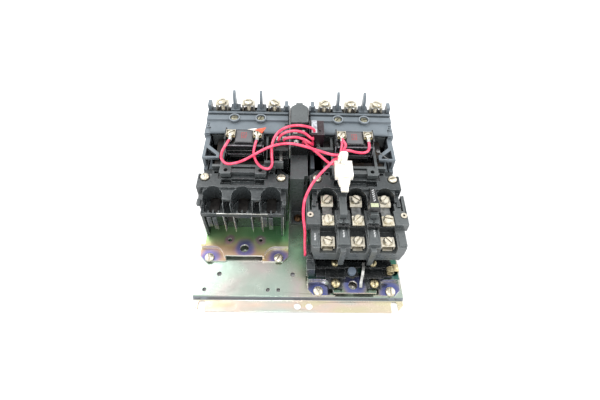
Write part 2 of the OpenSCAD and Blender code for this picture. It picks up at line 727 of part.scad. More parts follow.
module relay_body() color(charcoal) at_plate() translate([relay_x, 0, 0]) difference() {
  union() {
    // front: fascia with its lower edge drawn in at both sides
    translate([0, relay_front, 0]) rotate([-90, 0, 0]) linear_extrude(20)
      polygon([[-38, -relay_floor], [40.5, -relay_floor], [42.4, -43], [42.4, -53], [-41, -53],
        [-41, -43]]);
    box([-42, 43], [40, 61.4], [relay_floor, 54]);
    box([-relay_half_w, relay_half_w], [46, 61.4], [50, relay_top]);
    both() {
      box([43.2, relay_half_w], [56, 79], [46, relay_top]);
      box([-relay_half_w + 5, -relay_half_w + 11], [56, 69.6], [52, relay_top]);
    }
    // posts between the poles
    for (x = gaps) {
      box([x - 5.2, x + 5.2], [relay_front + 1.5, 47], [40, relay_post_top]);
      box([x - 3, x + 1.8], [relay_front - 3.5, 30], [relay_floor - 4, relay_post_top - 4]);
      box([x - 5.6, x + 5.6], [46, 56], [50, 62]);
      box([x - 3.4, x + 3], [50, 69.6], [58, 70]);
      for (k = [-2.6, 2.6]) rod_z(x + k, 47.6, [56, 63.5], 2.1);
    }
    box([-42, -36.4], [relay_front + 2, 46], [40, 54]);
    box([36.4, 43], [relay_front + 2, 46], [40, 54]);
  }
  for (x = poles) {
    // bay of the load terminal, open in front
    box([x - 7.4, x + 7.4], [relay_front - 5, 42], [43, 90]);
    box([x - 7, x + 7], [40, 47], [46, 90]);
    // channel of the heater element
    box([x - 6.8, x + 6.8], [46, 70], [54, 90]);
    // well of the heater screw
    rod_z(x, row2_y, [44, 60], 2.4);
    rod_z(x, row3_y, [33, 60], 2.4);
  }
  both() rod_z(42.8, 56, [40, 70], 1.75);
}

// Straps from the contactor's load terminals to the heater terminals
module relay_straps() color([0.55, 0.57, 0.58]) at_plate() translate([relay_x, 0, 0]) {
  for (x = poles) difference() {
    run_x([x - 4.4, x + 4.4], [
      [row2_y - 5, 58.6], [row2_y - 5, 60], [55, 60], [60, 57.4], [77, 57.4], [77, 55.9],
      [68.5, 55.9], [68.5, 48.5], [67, 48.5], [67, 55.9], [59.6, 55.9], [54.6, 58.6]]);
    rod_z(x, row2_y, [40, 70], 2);
    rod_z(x, row1_y - 1, [40, 70], 2);
  }
}

module relay_line_clamps() color(steel) at_plate() translate([relay_x, 0, 0]) {
  for (i = [0:2]) {
    difference() {
      run_x([poles[i] - 5.6, poles[i] + 5.6], [
        [row1_y + 4, 57.4], [row1_y + 4, row1_z], [row1_y - 5.5, row1_z], [row1_y - 7.4, 58],
        [row1_y - 7.4, 57.4]]);
      rod_z(poles[i], row1_y - 1, [40, 70], 2);
    }
    screw(poles[i], row1_y - 1, row1_z, 52, 4.6, 3.3, 50 + 90 * i);
  }
}

module heater_screws() color(steel) at_plate() translate([relay_x, 0, 0]) {
  for (i = [0:2]) {
    difference() {
      box([poles[i] - 5.3, poles[i] + 5.3], [row2_y - 5.6, row2_y + 4.4], [60, row2_z]);
      rod_z(poles[i], row2_y, [40, 70], 2);
    }
    screw(poles[i], row2_y, row2_z, 46, 4.5, 3.4, 100 - 55 * i);
  }
}

module relay_load_clamps() color(steel) at_plate() translate([relay_x, 0, 0]) {
  for (i = [0:2]) {
    saddle(poles[i], row3_y, row3_z, 6.2, 9.6, 4.2);
    difference() {
      box([poles[i] - 4.4, poles[i] + 4.4], [row3_y - 6, 41.8], [43 + slack, 44.8]);
      rod_z(poles[i], row3_y, [30, 60], 2);
    }
    screw(poles[i], row3_y, row3_z, 36, 4.2, 3.2, 75 * i - 20);
  }
}

module relay_screws() color(brass) at_plate() translate([relay_x, 0, 0]) {
  for (s = [-1, 1]) {
    screw(s * relay_screw_x, relay_screw_y, 15, 9, 4.1, 3.6, 90);
    screw(s * relay_screw_x, 28, 19.5, 13, 3.6, 3.4, 90);
  }
}

module relay_rivets() color(steel) at_plate() translate([relay_x, 0, 0]) both() difference() {
  union() {
    rod_z(42.8, 56, [relay_top, relay_top + 0.9], 2.9);
    rod_z(42.8, 56, [47, relay_top + 0.1], 1.7);
  }
  rod_z(42.8, 56, [40, 70], 1.1);
}

// Slanted label carrier over the right-hand barrier
module relay_label() color(black) at_plate() translate([relay_x + 14, 66, 70]) rotate([0, 0, 14]) {
  difference() {
    box([-3.6, 3.6], [-12, 13], [0, 3.2]);
    box([-2.8, 2.8], [-6, 12.2], [2.9, 5]);
  }
}

module reset_button() color([0.36, 0.45, 0.55]) at_plate() translate([relay_x, 0, 0]) {
  rod_z(reset_pos[0], reset_pos[1], [17, 23], reset_r);
}

module reset_spring() color(copper) at_plate() translate([relay_x, 0, 0]) {
  difference() {
    rod_y(33.5, [17, 23.8], 20.2, 3.6);
    rod_y(33.5, [10, 30], 20.2, 2.6);
  }
}

module relay_contact_block() color(black) at_plate() translate([relay_x, 0, 0]) {
  box([-45.4, -37.4], [17.5, 44], [bracket_top, 27]);
  box([-45, -39.2], [26, 37], [26, 30]);
  // tab that the control wire comes down to
  box([-48.4, -44], [29.8, 33.2], [27.6, 29]);
  screw(-42.2, 31.5, 30, 29, 3, 2.6, 15);
}

// ---------- control wiring ----------

// Eight-sided tube swept along hand-chosen points
function unit(v) = v / norm(v);
function tangent(p, i) = unit(p[min(i + 1, len(p) - 1)] - p[max(i - 1, 0)]);

// up is a direction that the route never runs along, so that the rings don't twist
module tube(p, r, up = [0, 0, 1]) {
  n = len(p);
  rings = [for (i = [0:n - 1]) let (t = tangent(p, i), u = unit(cross(t, up)), v = cross(t, u))
    for (k = [0:7]) p[i] + r * (u * cos(45 * k) + v * sin(45 * k))];
  // two triangles between neighbouring points of neighbouring rings
  sides = [for (i = [0:n - 2], k = [0:7], half = [0, 1])
    let (a = 8 * i + k, b = 8 * i + (k + 1) % 8, c = b + 8, d = a + 8) half == 0 ? [c, b, a] : [d, c, a]];
  ends = [[for (k = [0:7]) k], [for (k = [7:-1:0]) 8 * (n - 1) + k]];
  polyhedron(points = rings, faces = concat(sides, ends), convexity = 8);
}

left_coil_a_route = [[-67, 122.9, 89.4], [-70, 116, 88], [-73.5, 109, 85], [-74, 104, 81],
  [-69, 100, 78.5], [-61, 100.5, 79], [-52, 102, 82], [-42, 104.8, 87], [-32, 108.9, 90.5],
  [-21, 111.6, 93], [-9, 112, 94], [4, 108, 94.5], [16, 103, 94.5], [26, 99, 94.5],
  [31, 98, 94.5], [34.4, 98, 94.5]];
left_coil_b_route = [[-41.4, 122.9, 89.4], [-43, 116, 87.5], [-44, 109, 84], [-41.5, 102, 80],
  [-36, 96.5, 78], [-29.5, 95, 78], [-26.5, 99, 80], [-27, 106, 84], [-27, 113, 88.5],
  [-25, 121, 92], [-20, 128, 94.5], [-12, 132, 96.5], [-3, 133, 97.5], [5, 132.4, 97],
  [10.6, 131.8, 95.4], [13, 131.6, 93.2], [13, 131.6, 91]];
aux_link_upper_route = [[-21, 123.5, 84.4], [-21, 123.5, 88], [-19, 125.4, 91.4], [-13, 128, 93.6],
  [-5, 128.6, 94.6], [3, 127.2, 93.6], [8.5, 125, 90.4], [11.4, 125.2, 87.2], [12, 126.8, 86],
  [12, 128.9, 86]];
aux_link_lower_route = [[-15.6, 123.5, 84.4], [-15.6, 123.5, 88], [-12.5, 122.5, 91], [-5, 122.8, 91.8],
  [3, 122, 90.2], [8.6, 121.2, 86.6], [11.4, 122, 82.8], [12, 125, 80.6], [12, 128.9, 80.5]];
centre_loop_route = [[3, 130.5, 74], [3, 130.5, 79], [4.6, 126, 82.2], [7, 120.5, 83.4],
  [10.5, 115, 85], [15, 109, 86], [20, 103.5, 85.4], [25, 99, 84], [28, 97.3, 83.5], [30.8, 97, 83.5]];
right_coil_a_route = [[39.4, 122.9, 89.4], [39, 116.5, 90.4], [38, 109.5, 92], [37, 104.8, 93.4],
  [37, 101.8, 93.5]];
right_coil_b_route = [[65, 122.9, 89.4], [65, 116, 88.4], [63.4, 110.4, 87.8], [58.5, 107.2, 88.4],
  [51.5, 106.6, 89.6], [45, 106.8, 91.4], [41.4, 105, 93], [41, 101.8, 93.5]];
relay_route = [[34.1, 97.4, 90.6], [31, 96.4, 90.6], [25.6, 90, 90], [19, 83, 88], [12, 75, 85],
  [7, 67, 81.5], [3.6, 59, 77.5], [2.6, 52, 72.5], [3, 46.5, 66], [4, 43, 59], [4.6, 40, 51.5],
  [4.8, 37, 44], [5, 34, 37.5], [5.4, 32, 33.4], [5.4, 31.5, 29.1]];

module wire_left_coil_a() color(wire_red) at_plate() tube(left_coil_a_route, wire_r);
module wire_left_coil_b() color(wire_red) at_plate() tube(left_coil_b_route, wire_r, [1, 0, 1]);
module wire_aux_links() color(wire_red) at_plate() {
  tube(aux_link_upper_route, wire_r, [0, 1, 1]);
  tube(aux_link_lower_route, wire_r, [0, 1, 1]);
  tube(centre_loop_route, wire_r, [0, 1, 1]);
}
module wire_right_coil() color(wire_red) at_plate() {
  tube(right_coil_a_route, wire_r);
  tube(right_coil_b_route, wire_r);
}
module wire_relay() color(wire_red) at_plate() tube(relay_route, wire_r, [0, 1, 0]);

// Flag cable tie that bundles the wires over the right contactor
module cable_tie() color("white") at_plate() {
  box([31, 47.5], [79, 99], [80, 87]);
  translate([0, 0, 79]) linear_extrude(3) polygon([
    [34, 79.2], [35.4, 72], [36.5, 67], [42, 67], [43.4, 72], [45, 79.2]]);
  // head that closes round the bundle
  box([34.5, 43], [95.5, 101.5], [86, 98]);
}

base_plate();
left_bracket();
right_bracket();
bracket_screws();
left_load_block();
right_load_block();
load_block_screws();
left_contact_body();
right_contact_body();
left_contact_cover();
right_contact_cover();
cover_screws();
left_magnet_core();
right_magnet_core();
left_coil();
right_coil();
coil_plates();
coil_terminals();
coil_screws();
left_armature();
right_armature();
left_crossbar();
right_crossbar();
left_moving_contacts();
right_moving_contacts();
left_contact_springs();
right_contact_springs();
line_contacts();
load_contacts();
line_clamps();
line_screws();
phase_barriers();
interlock_housing();
interlock_cap();
interlock_lever();
interlock_pin();
interlock_screw();
left_aux_block();
right_aux_block();
centre_aux_block();
left_aux_plunger();
right_aux_plunger();
relay_base();
relay_body();
relay_straps();
relay_line_clamps();
heater_screws();
relay_load_clamps();
relay_screws();
relay_rivets();
relay_label();
reset_button();
reset_spring();
relay_contact_block();
wire_left_coil_a();
wire_left_coil_b();
wire_aux_links();
wire_right_coil();
wire_relay();
cable_tie();
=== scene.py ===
"""Looks of an open reversing motor starter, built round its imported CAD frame. Units are metres."""

import json
import math

import bmesh
import bpy
from mathutils import Matrix, Vector


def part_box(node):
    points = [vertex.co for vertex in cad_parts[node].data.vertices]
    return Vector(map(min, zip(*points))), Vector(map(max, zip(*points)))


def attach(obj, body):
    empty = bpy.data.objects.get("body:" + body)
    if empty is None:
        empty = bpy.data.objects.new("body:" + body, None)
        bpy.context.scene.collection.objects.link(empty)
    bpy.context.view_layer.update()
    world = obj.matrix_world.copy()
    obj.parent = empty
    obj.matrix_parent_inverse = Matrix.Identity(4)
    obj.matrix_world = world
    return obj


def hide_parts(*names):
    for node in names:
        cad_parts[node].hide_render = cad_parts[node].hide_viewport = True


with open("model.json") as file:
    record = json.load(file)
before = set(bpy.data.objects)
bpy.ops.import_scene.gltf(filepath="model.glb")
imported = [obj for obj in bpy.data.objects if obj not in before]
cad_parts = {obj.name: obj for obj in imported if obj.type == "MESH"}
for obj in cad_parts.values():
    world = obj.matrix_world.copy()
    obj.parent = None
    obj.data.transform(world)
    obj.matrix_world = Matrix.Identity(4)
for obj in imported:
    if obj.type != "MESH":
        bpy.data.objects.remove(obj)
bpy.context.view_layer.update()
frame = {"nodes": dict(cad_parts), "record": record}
MM = 0.001
NODES = frame["nodes"]
BODY_OF = {n: b for b, ns in frame["record"]["behaviour"]["bodies"].items() for n in ns}
SLOT_OF = {s["node"]: s["material_slot"] for s in frame["record"]["subparts"]}
# The wire routes count Y from the plate's front bend
FRONT_BEND_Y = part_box("left_bracket")[1].y - 180 * MM


def rgb(r, g, b):
    """A colour given in 0 to 255 as seen, as the linear colour that shaders use."""
    linear = [((c / 255 + 0.055) / 1.055) ** 2.4 if c > 10 else c / 255 / 12.92 for c in (r, g, b)]
    return tuple(linear) + (1.0,)


# ---------- shader building ----------

NOISE_ROUGHNESS = 0.55
# How far the edge of a stain wanders to each side
RAGGED = 3 * MM


class Shader:
    """A node material. Its methods add nodes, and most of them give back a new node's output."""

    def __init__(self, name):
        self.mat = bpy.data.materials.new(name)
        self.mat.use_nodes = True
        self.nodes = self.mat.node_tree.nodes
        self.links = self.mat.node_tree.links
        self.bsdf = self.nodes["Principled BSDF"]
        self.place = self.nodes.new("ShaderNodeTexCoord").outputs["Object"]

    def feed(self, socket, value):
        """Links a node's output to a socket, or sets the socket to a plain value."""
        if isinstance(value, bpy.types.NodeSocket):
            self.links.new(value, socket)
        else:
            socket.default_value = value

    def set(self, **values):
        """Feeds the surface's inputs, named with underscores for spaces."""
        for key, value in values.items():
            self.feed(self.bsdf.inputs[key.replace("_", " ")], value)

    def noise(self, scale, detail=3.0, stretch=(1, 1, 1), shift=(0, 0, 0)):
        """Cloudy noise, with scale in cells per metre."""
        mapping = self.nodes.new("ShaderNodeMapping")
        self.feed(mapping.inputs["Vector"], self.place)
        mapping.inputs["Scale"].default_value = stretch
        mapping.inputs["Location"].default_value = shift
        tex = self.nodes.new("ShaderNodeTexNoise")
        self.feed(tex.inputs["Vector"], mapping.outputs["Vector"])
        tex.inputs["Scale"].default_value = scale
        tex.inputs["Detail"].default_value = detail
        tex.inputs["Roughness"].default_value = NOISE_ROUGHNESS
        return tex.outputs["Fac"]

    def ramp(self, fac, stops):
        """A colour that runs through (position, colour) stops."""
        node = self.nodes.new("ShaderNodeValToRGB")
        ramp = node.color_ramp
        while len(ramp.elements) < len(stops):
            ramp.elements.new(0.5)
        for element, (position, colour) in zip(ramp.elements, stops):
            element.position = position
            element.color = colour
        self.feed(node.inputs["Fac"], fac)
        return node.outputs["Color"]

    def span(self, value, low, high, to_low=0.0, to_high=1.0):
        """Eases a value from one range to another, and holds it at the ends."""
        node = self.nodes.new("ShaderNodeMapRange")
        node.interpolation_type = "SMOOTHSTEP"
        keys = ("Value", "From Min", "From Max", "To Min", "To Max")
        for key, given in zip(keys, (value, low, high, to_low, to_high)):
            self.feed(node.inputs[key], given)
        return node.outputs["Result"]

    def mix(self, fac, a, b):
        """A blend of two colours. The node has sockets for other kinds of value before those."""
        node = self.nodes.new("ShaderNodeMix")
        node.data_type = "RGBA"
        self.feed(node.inputs["Factor"], fac)
        self.feed(node.inputs[6], a)
        self.feed(node.inputs[7], b)
        return node.outputs[2]

    def math(self, kind, a, b=0.0):
        """One sum on one or two values."""
        node = self.nodes.new("ShaderNodeMath")
        node.operation = kind
        self.feed(node.inputs[0], a)
        self.feed(node.inputs[1], b)
        return node.outputs[0]

    def axis(self, name):
        """The object's own X, Y or Z at each point."""
        node = self.nodes.new("ShaderNodeSeparateXYZ")
        self.feed(node.inputs[0], self.place)
        return node.outputs[name]

    def near(self, point, low, high):
        """1 within low of a point, 0 beyond high, ragged in between."""
        node = self.nodes.new("ShaderNodeVectorMath")
        node.operation = "DISTANCE"
        self.feed(node.inputs[0], self.place)
        node.inputs[1].default_value = point
        wander = self.math("MULTIPLY", self.noise(90), -2 * RAGGED)
        ragged = self.math("ADD", node.outputs["Value"], wander)
        return self.span(ragged, low - RAGGED, high - RAGGED, 1.0, 0.0)

    def edge(self, radius):
        """0 on flats, towards 1 on edges within radius."""
        bevel = self.nodes.new("ShaderNodeBevel")
        bevel.samples = 4
        bevel.inputs["Radius"].default_value = radius
        flat = self.nodes.new("ShaderNodeNewGeometry")
        dot = self.nodes.new("ShaderNodeVectorMath")
        dot.operation = "DOT_PRODUCT"
        self.feed(dot.inputs[0], bevel.outputs["Normal"])
        self.feed(dot.inputs[1], flat.outputs["Normal"])
        return self.span(dot.outputs["Value"], 0.995, 0.85)

    def tilt(self, low, high):
        """0 on faces that look straight up, towards 1 on slopes and bends."""
        node = self.nodes.new("ShaderNodeSeparateXYZ")
        self.feed(node.inputs[0], self.nodes.new("ShaderNodeNewGeometry").outputs["Normal"])
        return self.span(node.outputs["Z"], high, low)

    def hollow_shade(self, distance):
        """0 in the open, towards 1 in corners and recesses: the mask for painted shade."""
        node = self.nodes.new("ShaderNodeAmbientOcclusion")
        node.samples = 4
        node.inputs["Distance"].default_value = distance
        return self.span(node.outputs["AO"], 0.9, 0.35)

    def bump(self, height, distance, strength=1.0):
        """Tilts the surface as if it had this height."""
        node = self.nodes.new("ShaderNodeBump")
        node.inputs["Strength"].default_value = strength
        node.inputs["Distance"].default_value = distance
        self.feed(node.inputs["Height"], height)
        self.feed(self.bsdf.inputs["Normal"], node.outputs["Normal"])


def moulded(name, colour, light, roughness=0.42, wear_and_highlight=0.5):
    """Moulded plastic: mottled, fine grained, paler along its edges, partly worn and partly a painted
    highlight, and darker in its recesses, which is painted shade.
    """
    s = Shader(name)
    # Paler edges: partly wear, partly a painted highlight where the edges catch light.
    patches = s.span(s.noise(240, 3), 0.35, 0.65, 0.25 * wear_and_highlight, wear_and_highlight)
    worn_and_lit_edges = s.math("MULTIPLY", s.edge(0.5 * MM), patches)
    base = s.mix(s.span(s.noise(70, 4), 0.1, 0.9), colour, light)
    dust = s.mix(s.math("MULTIPLY", s.span(s.noise(320, 5), 0.5, 0.8), 0.1), base, rgb(150, 152, 150))
    # Painted shade: darkens corners and recesses up to 16 mm deep.
    deep = s.mix(s.math("MULTIPLY", s.hollow_shade(16 * MM), 0.6), dust, rgb(16, 18, 19))
    s.set(Base_Color=s.mix(worn_and_lit_edges, deep, rgb(178, 183, 185)))
    s.set(Roughness=s.span(s.noise(180, 3), 0.25, 0.75, roughness - 0.08, roughness + 0.1))
    s.bump(s.math("ADD", s.math("MULTIPLY", s.noise(1400, 2), 0.5), s.noise(420, 2)), 0.012 * MM)
    return s.mat


def plated(name, colour, dull, roughness=0.28, grain=900):
    """Plated metal: bright, slightly clouded, and darker in its recesses, partly grime and partly
    painted shade.
    """
    s = Shader(name)
    cloud = s.noise(260, 4)
    base = s.mix(s.span(cloud, 0.35, 0.7), colour, dull)
    # Darker brown in the recesses: partly grime, partly painted shade.
    s.set(Base_Color=s.mix(s.math("MULTIPLY", s.hollow_shade(1.2 * MM), 0.6), base, rgb(84, 76, 60)))
    s.set(Metallic=0.9, Roughness=s.span(s.noise(500, 3), 0.3, 0.7, roughness - 0.08, roughness + 0.14))
    s.bump(s.noise(grain, 3), 0.03 * MM)
    return s.mat


PURPLE = rgb(150, 108, 134)
HEAT_RING = [(0.0, rgb(168, 142, 112)), (0.35, PURPLE), (0.7, rgb(112, 100, 152)),
             (1.0, rgb(86, 88, 146))]


def chromate(name, field, spots=(), reach=0.0, lengthwise=None):
    """Iridescent chromate over zinc: drifting colours, rings of others round spots, fine scratches, and
    a painted highlight that pales its edges.

    Gives back the shader, its colour and its scratches, for finish_chromate."""
    s = Shader(name)
    broad = s.math("MULTIPLY", s.noise(9, 2), 0.85)
    fine = s.math("MULTIPLY", s.noise(48, 4), 0.15)
    drift = s.span(s.math("ADD", broad, fine), 0.25, 0.75)
    if lengthwise:
        along = s.span(s.axis("Y"), lengthwise[0], lengthwise[1])
        drift = s.math("ADD", s.math("MULTIPLY", drift, 0.4), s.math("MULTIPLY", along, 0.6))
    colour = s.ramp(drift, field)
    for point in spots:
        close = s.near(point, reach * 0.4, reach)
        ring = s.ramp(close, HEAT_RING)
        colour = s.mix(s.math("MULTIPLY", close, 0.85), colour, ring)
    scratch = s.noise(900, 2, stretch=(0.06, 1, 1))
    cross = s.noise(900, 2, stretch=(1, 0.05, 1), shift=(3, 1, 0))
    worn = s.math("MULTIPLY", s.span(s.math("MAXIMUM", scratch, cross), 0.64, 0.8), 0.3)
    colour = s.mix(worn, colour, rgb(205, 204, 192))
    # Painted highlight: edges paled towards a pinkish white.
    colour = s.mix(s.math("MULTIPLY", s.edge(0.4 * MM), 0.7), colour, rgb(228, 206, 198))
    return s, colour, scratch


def finish_chromate(s, colour, scratch, gloss, metallic=0.9):
    """Sets the surface of a chromate shader and gives back its material."""
    s.set(Base_Color=colour, Metallic=metallic)
    s.set(Roughness=s.span(s.noise(130, 4), 0.3, 0.7, gloss - 0.04, gloss + 0.08))
    s.bump(s.math("ADD", s.noise(45, 2), s.math("MULTIPLY", scratch, 0.1)), 0.1 * MM)
    return s.mat


def plate_chromate():
    """The mounting plate: grey green, a darker strip of painted shade on its bends, a paler yellow on
    its flanges that is partly its own tint and partly a painted reflection, and a darker green patch of
    painted shade between the load block and the relay.
    """
    field = [(0.0, rgb(138, 172, 156)), (0.3, rgb(150, 166, 156)), (0.5, rgb(158, 168, 158)),
             (0.68, rgb(172, 164, 160)), (0.84, rgb(164, 168, 148)), (1.0, rgb(142, 170, 162))]
    s, colour, scratch = chromate("chromate_plate", field)
    # The flanges' paler yellow is partly the film's own tint and partly a painted reflection of the
    # bright surroundings.
    flange = s.ramp(s.span(s.noise(16, 2, stretch=(1, 4, 1)), 0.25, 0.75),
                    [(0.0, rgb(196, 190, 158)), (0.5, rgb(204, 186, 172)), (1.0, rgb(176, 188, 180))])
    # Painted shade: the plate turns a darker green in the gap between the load block and the relay.
    green = s.math("MULTIPLY", s.near((4 * MM, -36 * MM, 8 * MM), 10 * MM, 50 * MM), 0.8)
    colour = s.mix(green, colour, rgb(84, 124, 96))
    height = s.axis("Z")
    colour = s.mix(s.span(height, 2.05 * MM, 2.3 * MM, 1.0, 0.0), colour, flange)
    # Painted shade: a darker blue grey on the sloped bends between the flanges and the raised middle.
    above = s.span(height, 2.1 * MM, 2.6 * MM)
    below = s.span(height, 5.2 * MM, 5.8 * MM, 1.0, 0.0)
    bend_shade = s.math("MULTIPLY", s.math("MULTIPLY", above, below), 0.9)
    colour = s.mix(bend_shade, colour, rgb(112, 116, 124))
    return finish_chromate(s, colour, scratch, 0.2)


# The height of the stains on a bracket's feet and on its raised middle
FOOT_TOP = 8 * MM
BRACKET_TOP = 12.5 * MM


def bracket_chromate(name, field, node, hole, gloss, metallic):
    """A contactor's bracket: purple rings round its feet's screws and round its holes, and painted
    white highlights on its slopes and bends.
    """
    lo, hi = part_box(node)
    middle = (lo.x + hi.x) / 2
    spots = [(p.x, p.y, FOOT_TOP) for p in BRACKET_SCREWS if abs(p.x - middle) < 50 * MM]
    front = min(p[1] for p in spots)
    spots += [(middle, front + hole, BRACKET_TOP)]
    s, colour, scratch = chromate(name, field, spots, 15 * MM, (front, front + 26 * MM))
    for side in (-15.4, 15.4):
        ring = s.near((middle + side * MM, front + 18.3 * MM, BRACKET_TOP), 3 * MM, 7 * MM)
        colour = s.mix(s.math("MULTIPLY", ring, 0.7), colour, PURPLE)
    # Painted highlight: slopes and bends paled towards white.
    colour = s.mix(s.tilt(0.6, 0.97), colour, rgb(240, 238, 232))
    return finish_chromate(s, colour, scratch, gloss, metallic)


def insulation(name):
    """Soft glossy red plastic."""
    s = Shader(name)
    s.set(Base_Color=s.mix(s.span(s.noise(150, 3), 0.35, 0.7), rgb(228, 52, 92), rgb(242, 92, 122)))
    s.set(Roughness=s.span(s.noise(400, 2), 0.3, 0.7, 0.26, 0.38), Subsurface_Weight=0.12)
    s.bsdf.inputs["Subsurface Radius"].default_value = (1.2 * MM, 0.4 * MM, 0.3 * MM)
    s.bsdf.inputs["Subsurface Scale"].default_value = 1.0
    s.set(Coat_Weight=0.35, Coat_Roughness=0.18)
    s.bump(s.noise(500, 2), 0.04 * MM)
    return s.mat


def nylon(name):
    """White nylon that lets a little light in."""
    s = Shader(name)
    s.set(Base_Color=s.mix(s.span(s.noise(90, 3), 0.3, 0.7), rgb(250, 248, 242), rgb(226, 220, 200)))
    s.set(Roughness=s.span(s.noise(300, 2), 0.3, 0.7, 0.32, 0.46), Subsurface_Weight=0.3)
    s.bsdf.inputs["Subsurface Radius"].default_value = (2 * MM, 2 * MM, 1.6 * MM)
    s.bsdf.inputs["Subsurface Scale"].default_value = 1.0
    s.bump(s.noise(700, 2), 0.03 * MM)
    return s.mat


def laminated(name):
    """Stacked iron sheets: thin dark lines along Z, a trace of oil and rust."""
    s = Shader(name)
    stack = s.math("FRACT", s.math("MULTIPLY", s.axis("Z"), 1 / (0.6 * MM)))
    line = s.span(stack, 0.82, 0.98)
    iron = s.mix(s.span(s.noise(220, 4), 0.4, 0.7), rgb(86, 86, 90), rgb(112, 92, 74))
    s.set(Base_Color=s.mix(s.math("MULTIPLY", line, 0.8), iron, rgb(24, 22, 20)))
    s.set(Metallic=0.85, Roughness=s.span(s.noise(300, 3), 0.3, 0.7, 0.3, 0.55))
    s.bump(line, 0.06 * MM, -0.6)
    return s.mat


def paper(name, colour, marks):
    """Printed paper or film: fibres and faint stains."""
    s = Shader(name)
    s.set(Base_Color=s.mix(s.span(s.noise(380, 5), 0.45, 0.7), colour, marks), Roughness=0.62)
    s.bump(s.noise(900, 3), 0.03 * MM)
    return s.mat


def make_materials():
    """Every material, by its slot in the record or by its own name."""
    left_field = [(0.0, rgb(172, 146, 128)), (0.25, rgb(164, 140, 108)), (0.5, rgb(150, 162, 116)),
                  (0.75, rgb(112, 162, 110)), (1.0, rgb(74, 146, 98))]
    # The right bracket's colours run darker than the left's: partly its own tint, partly a painted
    # reflection of the dark relay it faces.
    right_field_and_reflection = [(0.0, rgb(150, 146, 122)), (0.3, rgb(88, 118, 108)), (0.6, rgb(52, 92, 88)),
                   (1.0, rgb(60, 104, 86))]
    return {
        "zinc_plate": plate_chromate(),
        "left_bracket": bracket_chromate("chromate_left_bracket", left_field, "left_bracket",
                                         8.6 * MM, 0.34, 0.75),
        "right_bracket": bracket_chromate("chromate_right_bracket", right_field_and_reflection, "right_bracket",
                                          4.6 * MM, 0.15, 0.95),
        "block_plastic": moulded("black_plastic", rgb(44, 49, 50), rgb(58, 63, 65), 0.28, 0.8),
        "grey_plastic": moulded("blue_grey_plastic", rgb(92, 102, 109), rgb(112, 121, 128), 0.4, 0.7),
        "relay_plastic": moulded("charcoal_plastic", rgb(70, 75, 76), rgb(86, 91, 92), 0.3, 0.7),
        # The darkest black, partly painted shade: it darkens pieces that lie in shade, such as the
        # relay base, below how black plastic shows under the lamps.
        "deep_plastic": moulded("deep_black_plastic", rgb(10, 12, 13), rgb(20, 23, 24), 0.2, 0.5),
        "coil_black": moulded("coil_case", rgb(20, 21, 23), rgb(34, 35, 38), 0.2, 0.7),
        "coil_plate": moulded("coil_plate_paint", rgb(84, 84, 87), rgb(100, 100, 103), 0.46, 0.3),
        "aux_maroon": moulded("maroon_black_plastic", rgb(30, 14, 20), rgb(46, 24, 32), 0.3, 0.5),
        "screw_steel": plated("champagne_plating", rgb(218, 213, 198), rgb(190, 182, 160), 0.3),
        "screw_brass": plated("yellow_plating", rgb(196, 186, 152), rgb(164, 150, 112)),
        "nut_bronze": plated("bronze_plating", rgb(112, 84, 58), rgb(74, 54, 40), 0.35),
        "saddle_steel": plated("saddle_plating", rgb(216, 210, 196), rgb(192, 185, 166), 0.38),
        "dull_steel": plated("dull_plating", rgb(150, 148, 130), rgb(112, 110, 94), 0.36),
        # Paler rims: partly wear, partly a painted highlight.
        "boss_rim": moulded("boss_rim_plastic", rgb(128, 137, 145), rgb(150, 159, 166), 0.4, 0.8),
        # A paler grey for the coil's ribs: painted highlights along them.
        "coil_edge": moulded("coil_edge_plastic", rgb(112, 110, 116), rgb(150, 148, 154), 0.3, 0.8),
        "contact_copper": plated("copper", rgb(184, 116, 82), rgb(130, 78, 56), 0.35),
        # Dark metal for the contacts, so that they sink into the shade of the load blocks' bays:
        # painted shade.
        "strap_dark": plated("strap_in_painted_shade", rgb(58, 56, 54), rgb(38, 36, 36), 0.45),
        "spring_steel": plated("spring_wire", rgb(190, 190, 186), rgb(140, 140, 136), 0.25),
        "strap_grey": plated("tinned_strap", rgb(130, 132, 132), rgb(96, 98, 98), 0.38),
        "lug_silver": plated("lug_tin_and_highlight", rgb(206, 206, 202), rgb(170, 170, 166), 0.3),
        "core_iron": laminated("laminated_iron"),
        "wire_red": insulation("red_insulation"),
        "tie_white": nylon("white_nylon"),
        "button_blue": moulded("button_plastic", rgb(92, 104, 118), rgb(112, 124, 138), 0.3, 0.3),
        "label_grey": paper("label_paper", rgb(176, 180, 186), rgb(128, 132, 138)),
        "label_cream": paper("label_end", rgb(176, 182, 150), rgb(146, 152, 120)),
        "tag_white": paper("tag_paper", rgb(238, 234, 228), rgb(214, 206, 198)),
        "tag_orange": paper("tag_orange", rgb(230, 84, 52), rgb(216, 112, 80)),
        "mark_red": paper("red_ink", rgb(176, 52, 48), rgb(128, 50, 48)),
        "mark_white": paper("white_ink", rgb(214, 216, 216), rgb(170, 172, 172)),
    }


# ---------- reading the frame ----------

def welded(node):
    """A bmesh of a CAD node with the vertices joined that its file keeps apart."""
    bm = bmesh.new()
    bm.from_mesh(NODES[node].data)
    bmesh.ops.remove_doubles(bm, verts=bm.verts, dist=2e-6)
    return bm


def islands(node):
    """The lowest and highest corner of each separate solid of a CAD node, in order of X, then Y."""
    bm = welded(node)
    seen, found = set(), []
    for start in bm.verts:
        if start in seen:
            continue
        seen.add(start)
        stack, points = [start], []
        while stack:
            v = stack.pop()
            points.append(v.co.copy())
            for e in v.link_edges:
                w = e.other_vert(v)
                if w not in seen:
                    seen.add(w)
                    stack.append(w)
        lo = Vector([min(p[i] for p in points) for i in range(3)])
        hi = Vector([max(p[i] for p in points) for i in range(3)])
        found.append((lo, hi))
    bm.free()
    return sorted(found, key=lambda b: (round(b[0].x, 4), round(b[0].y, 4)))


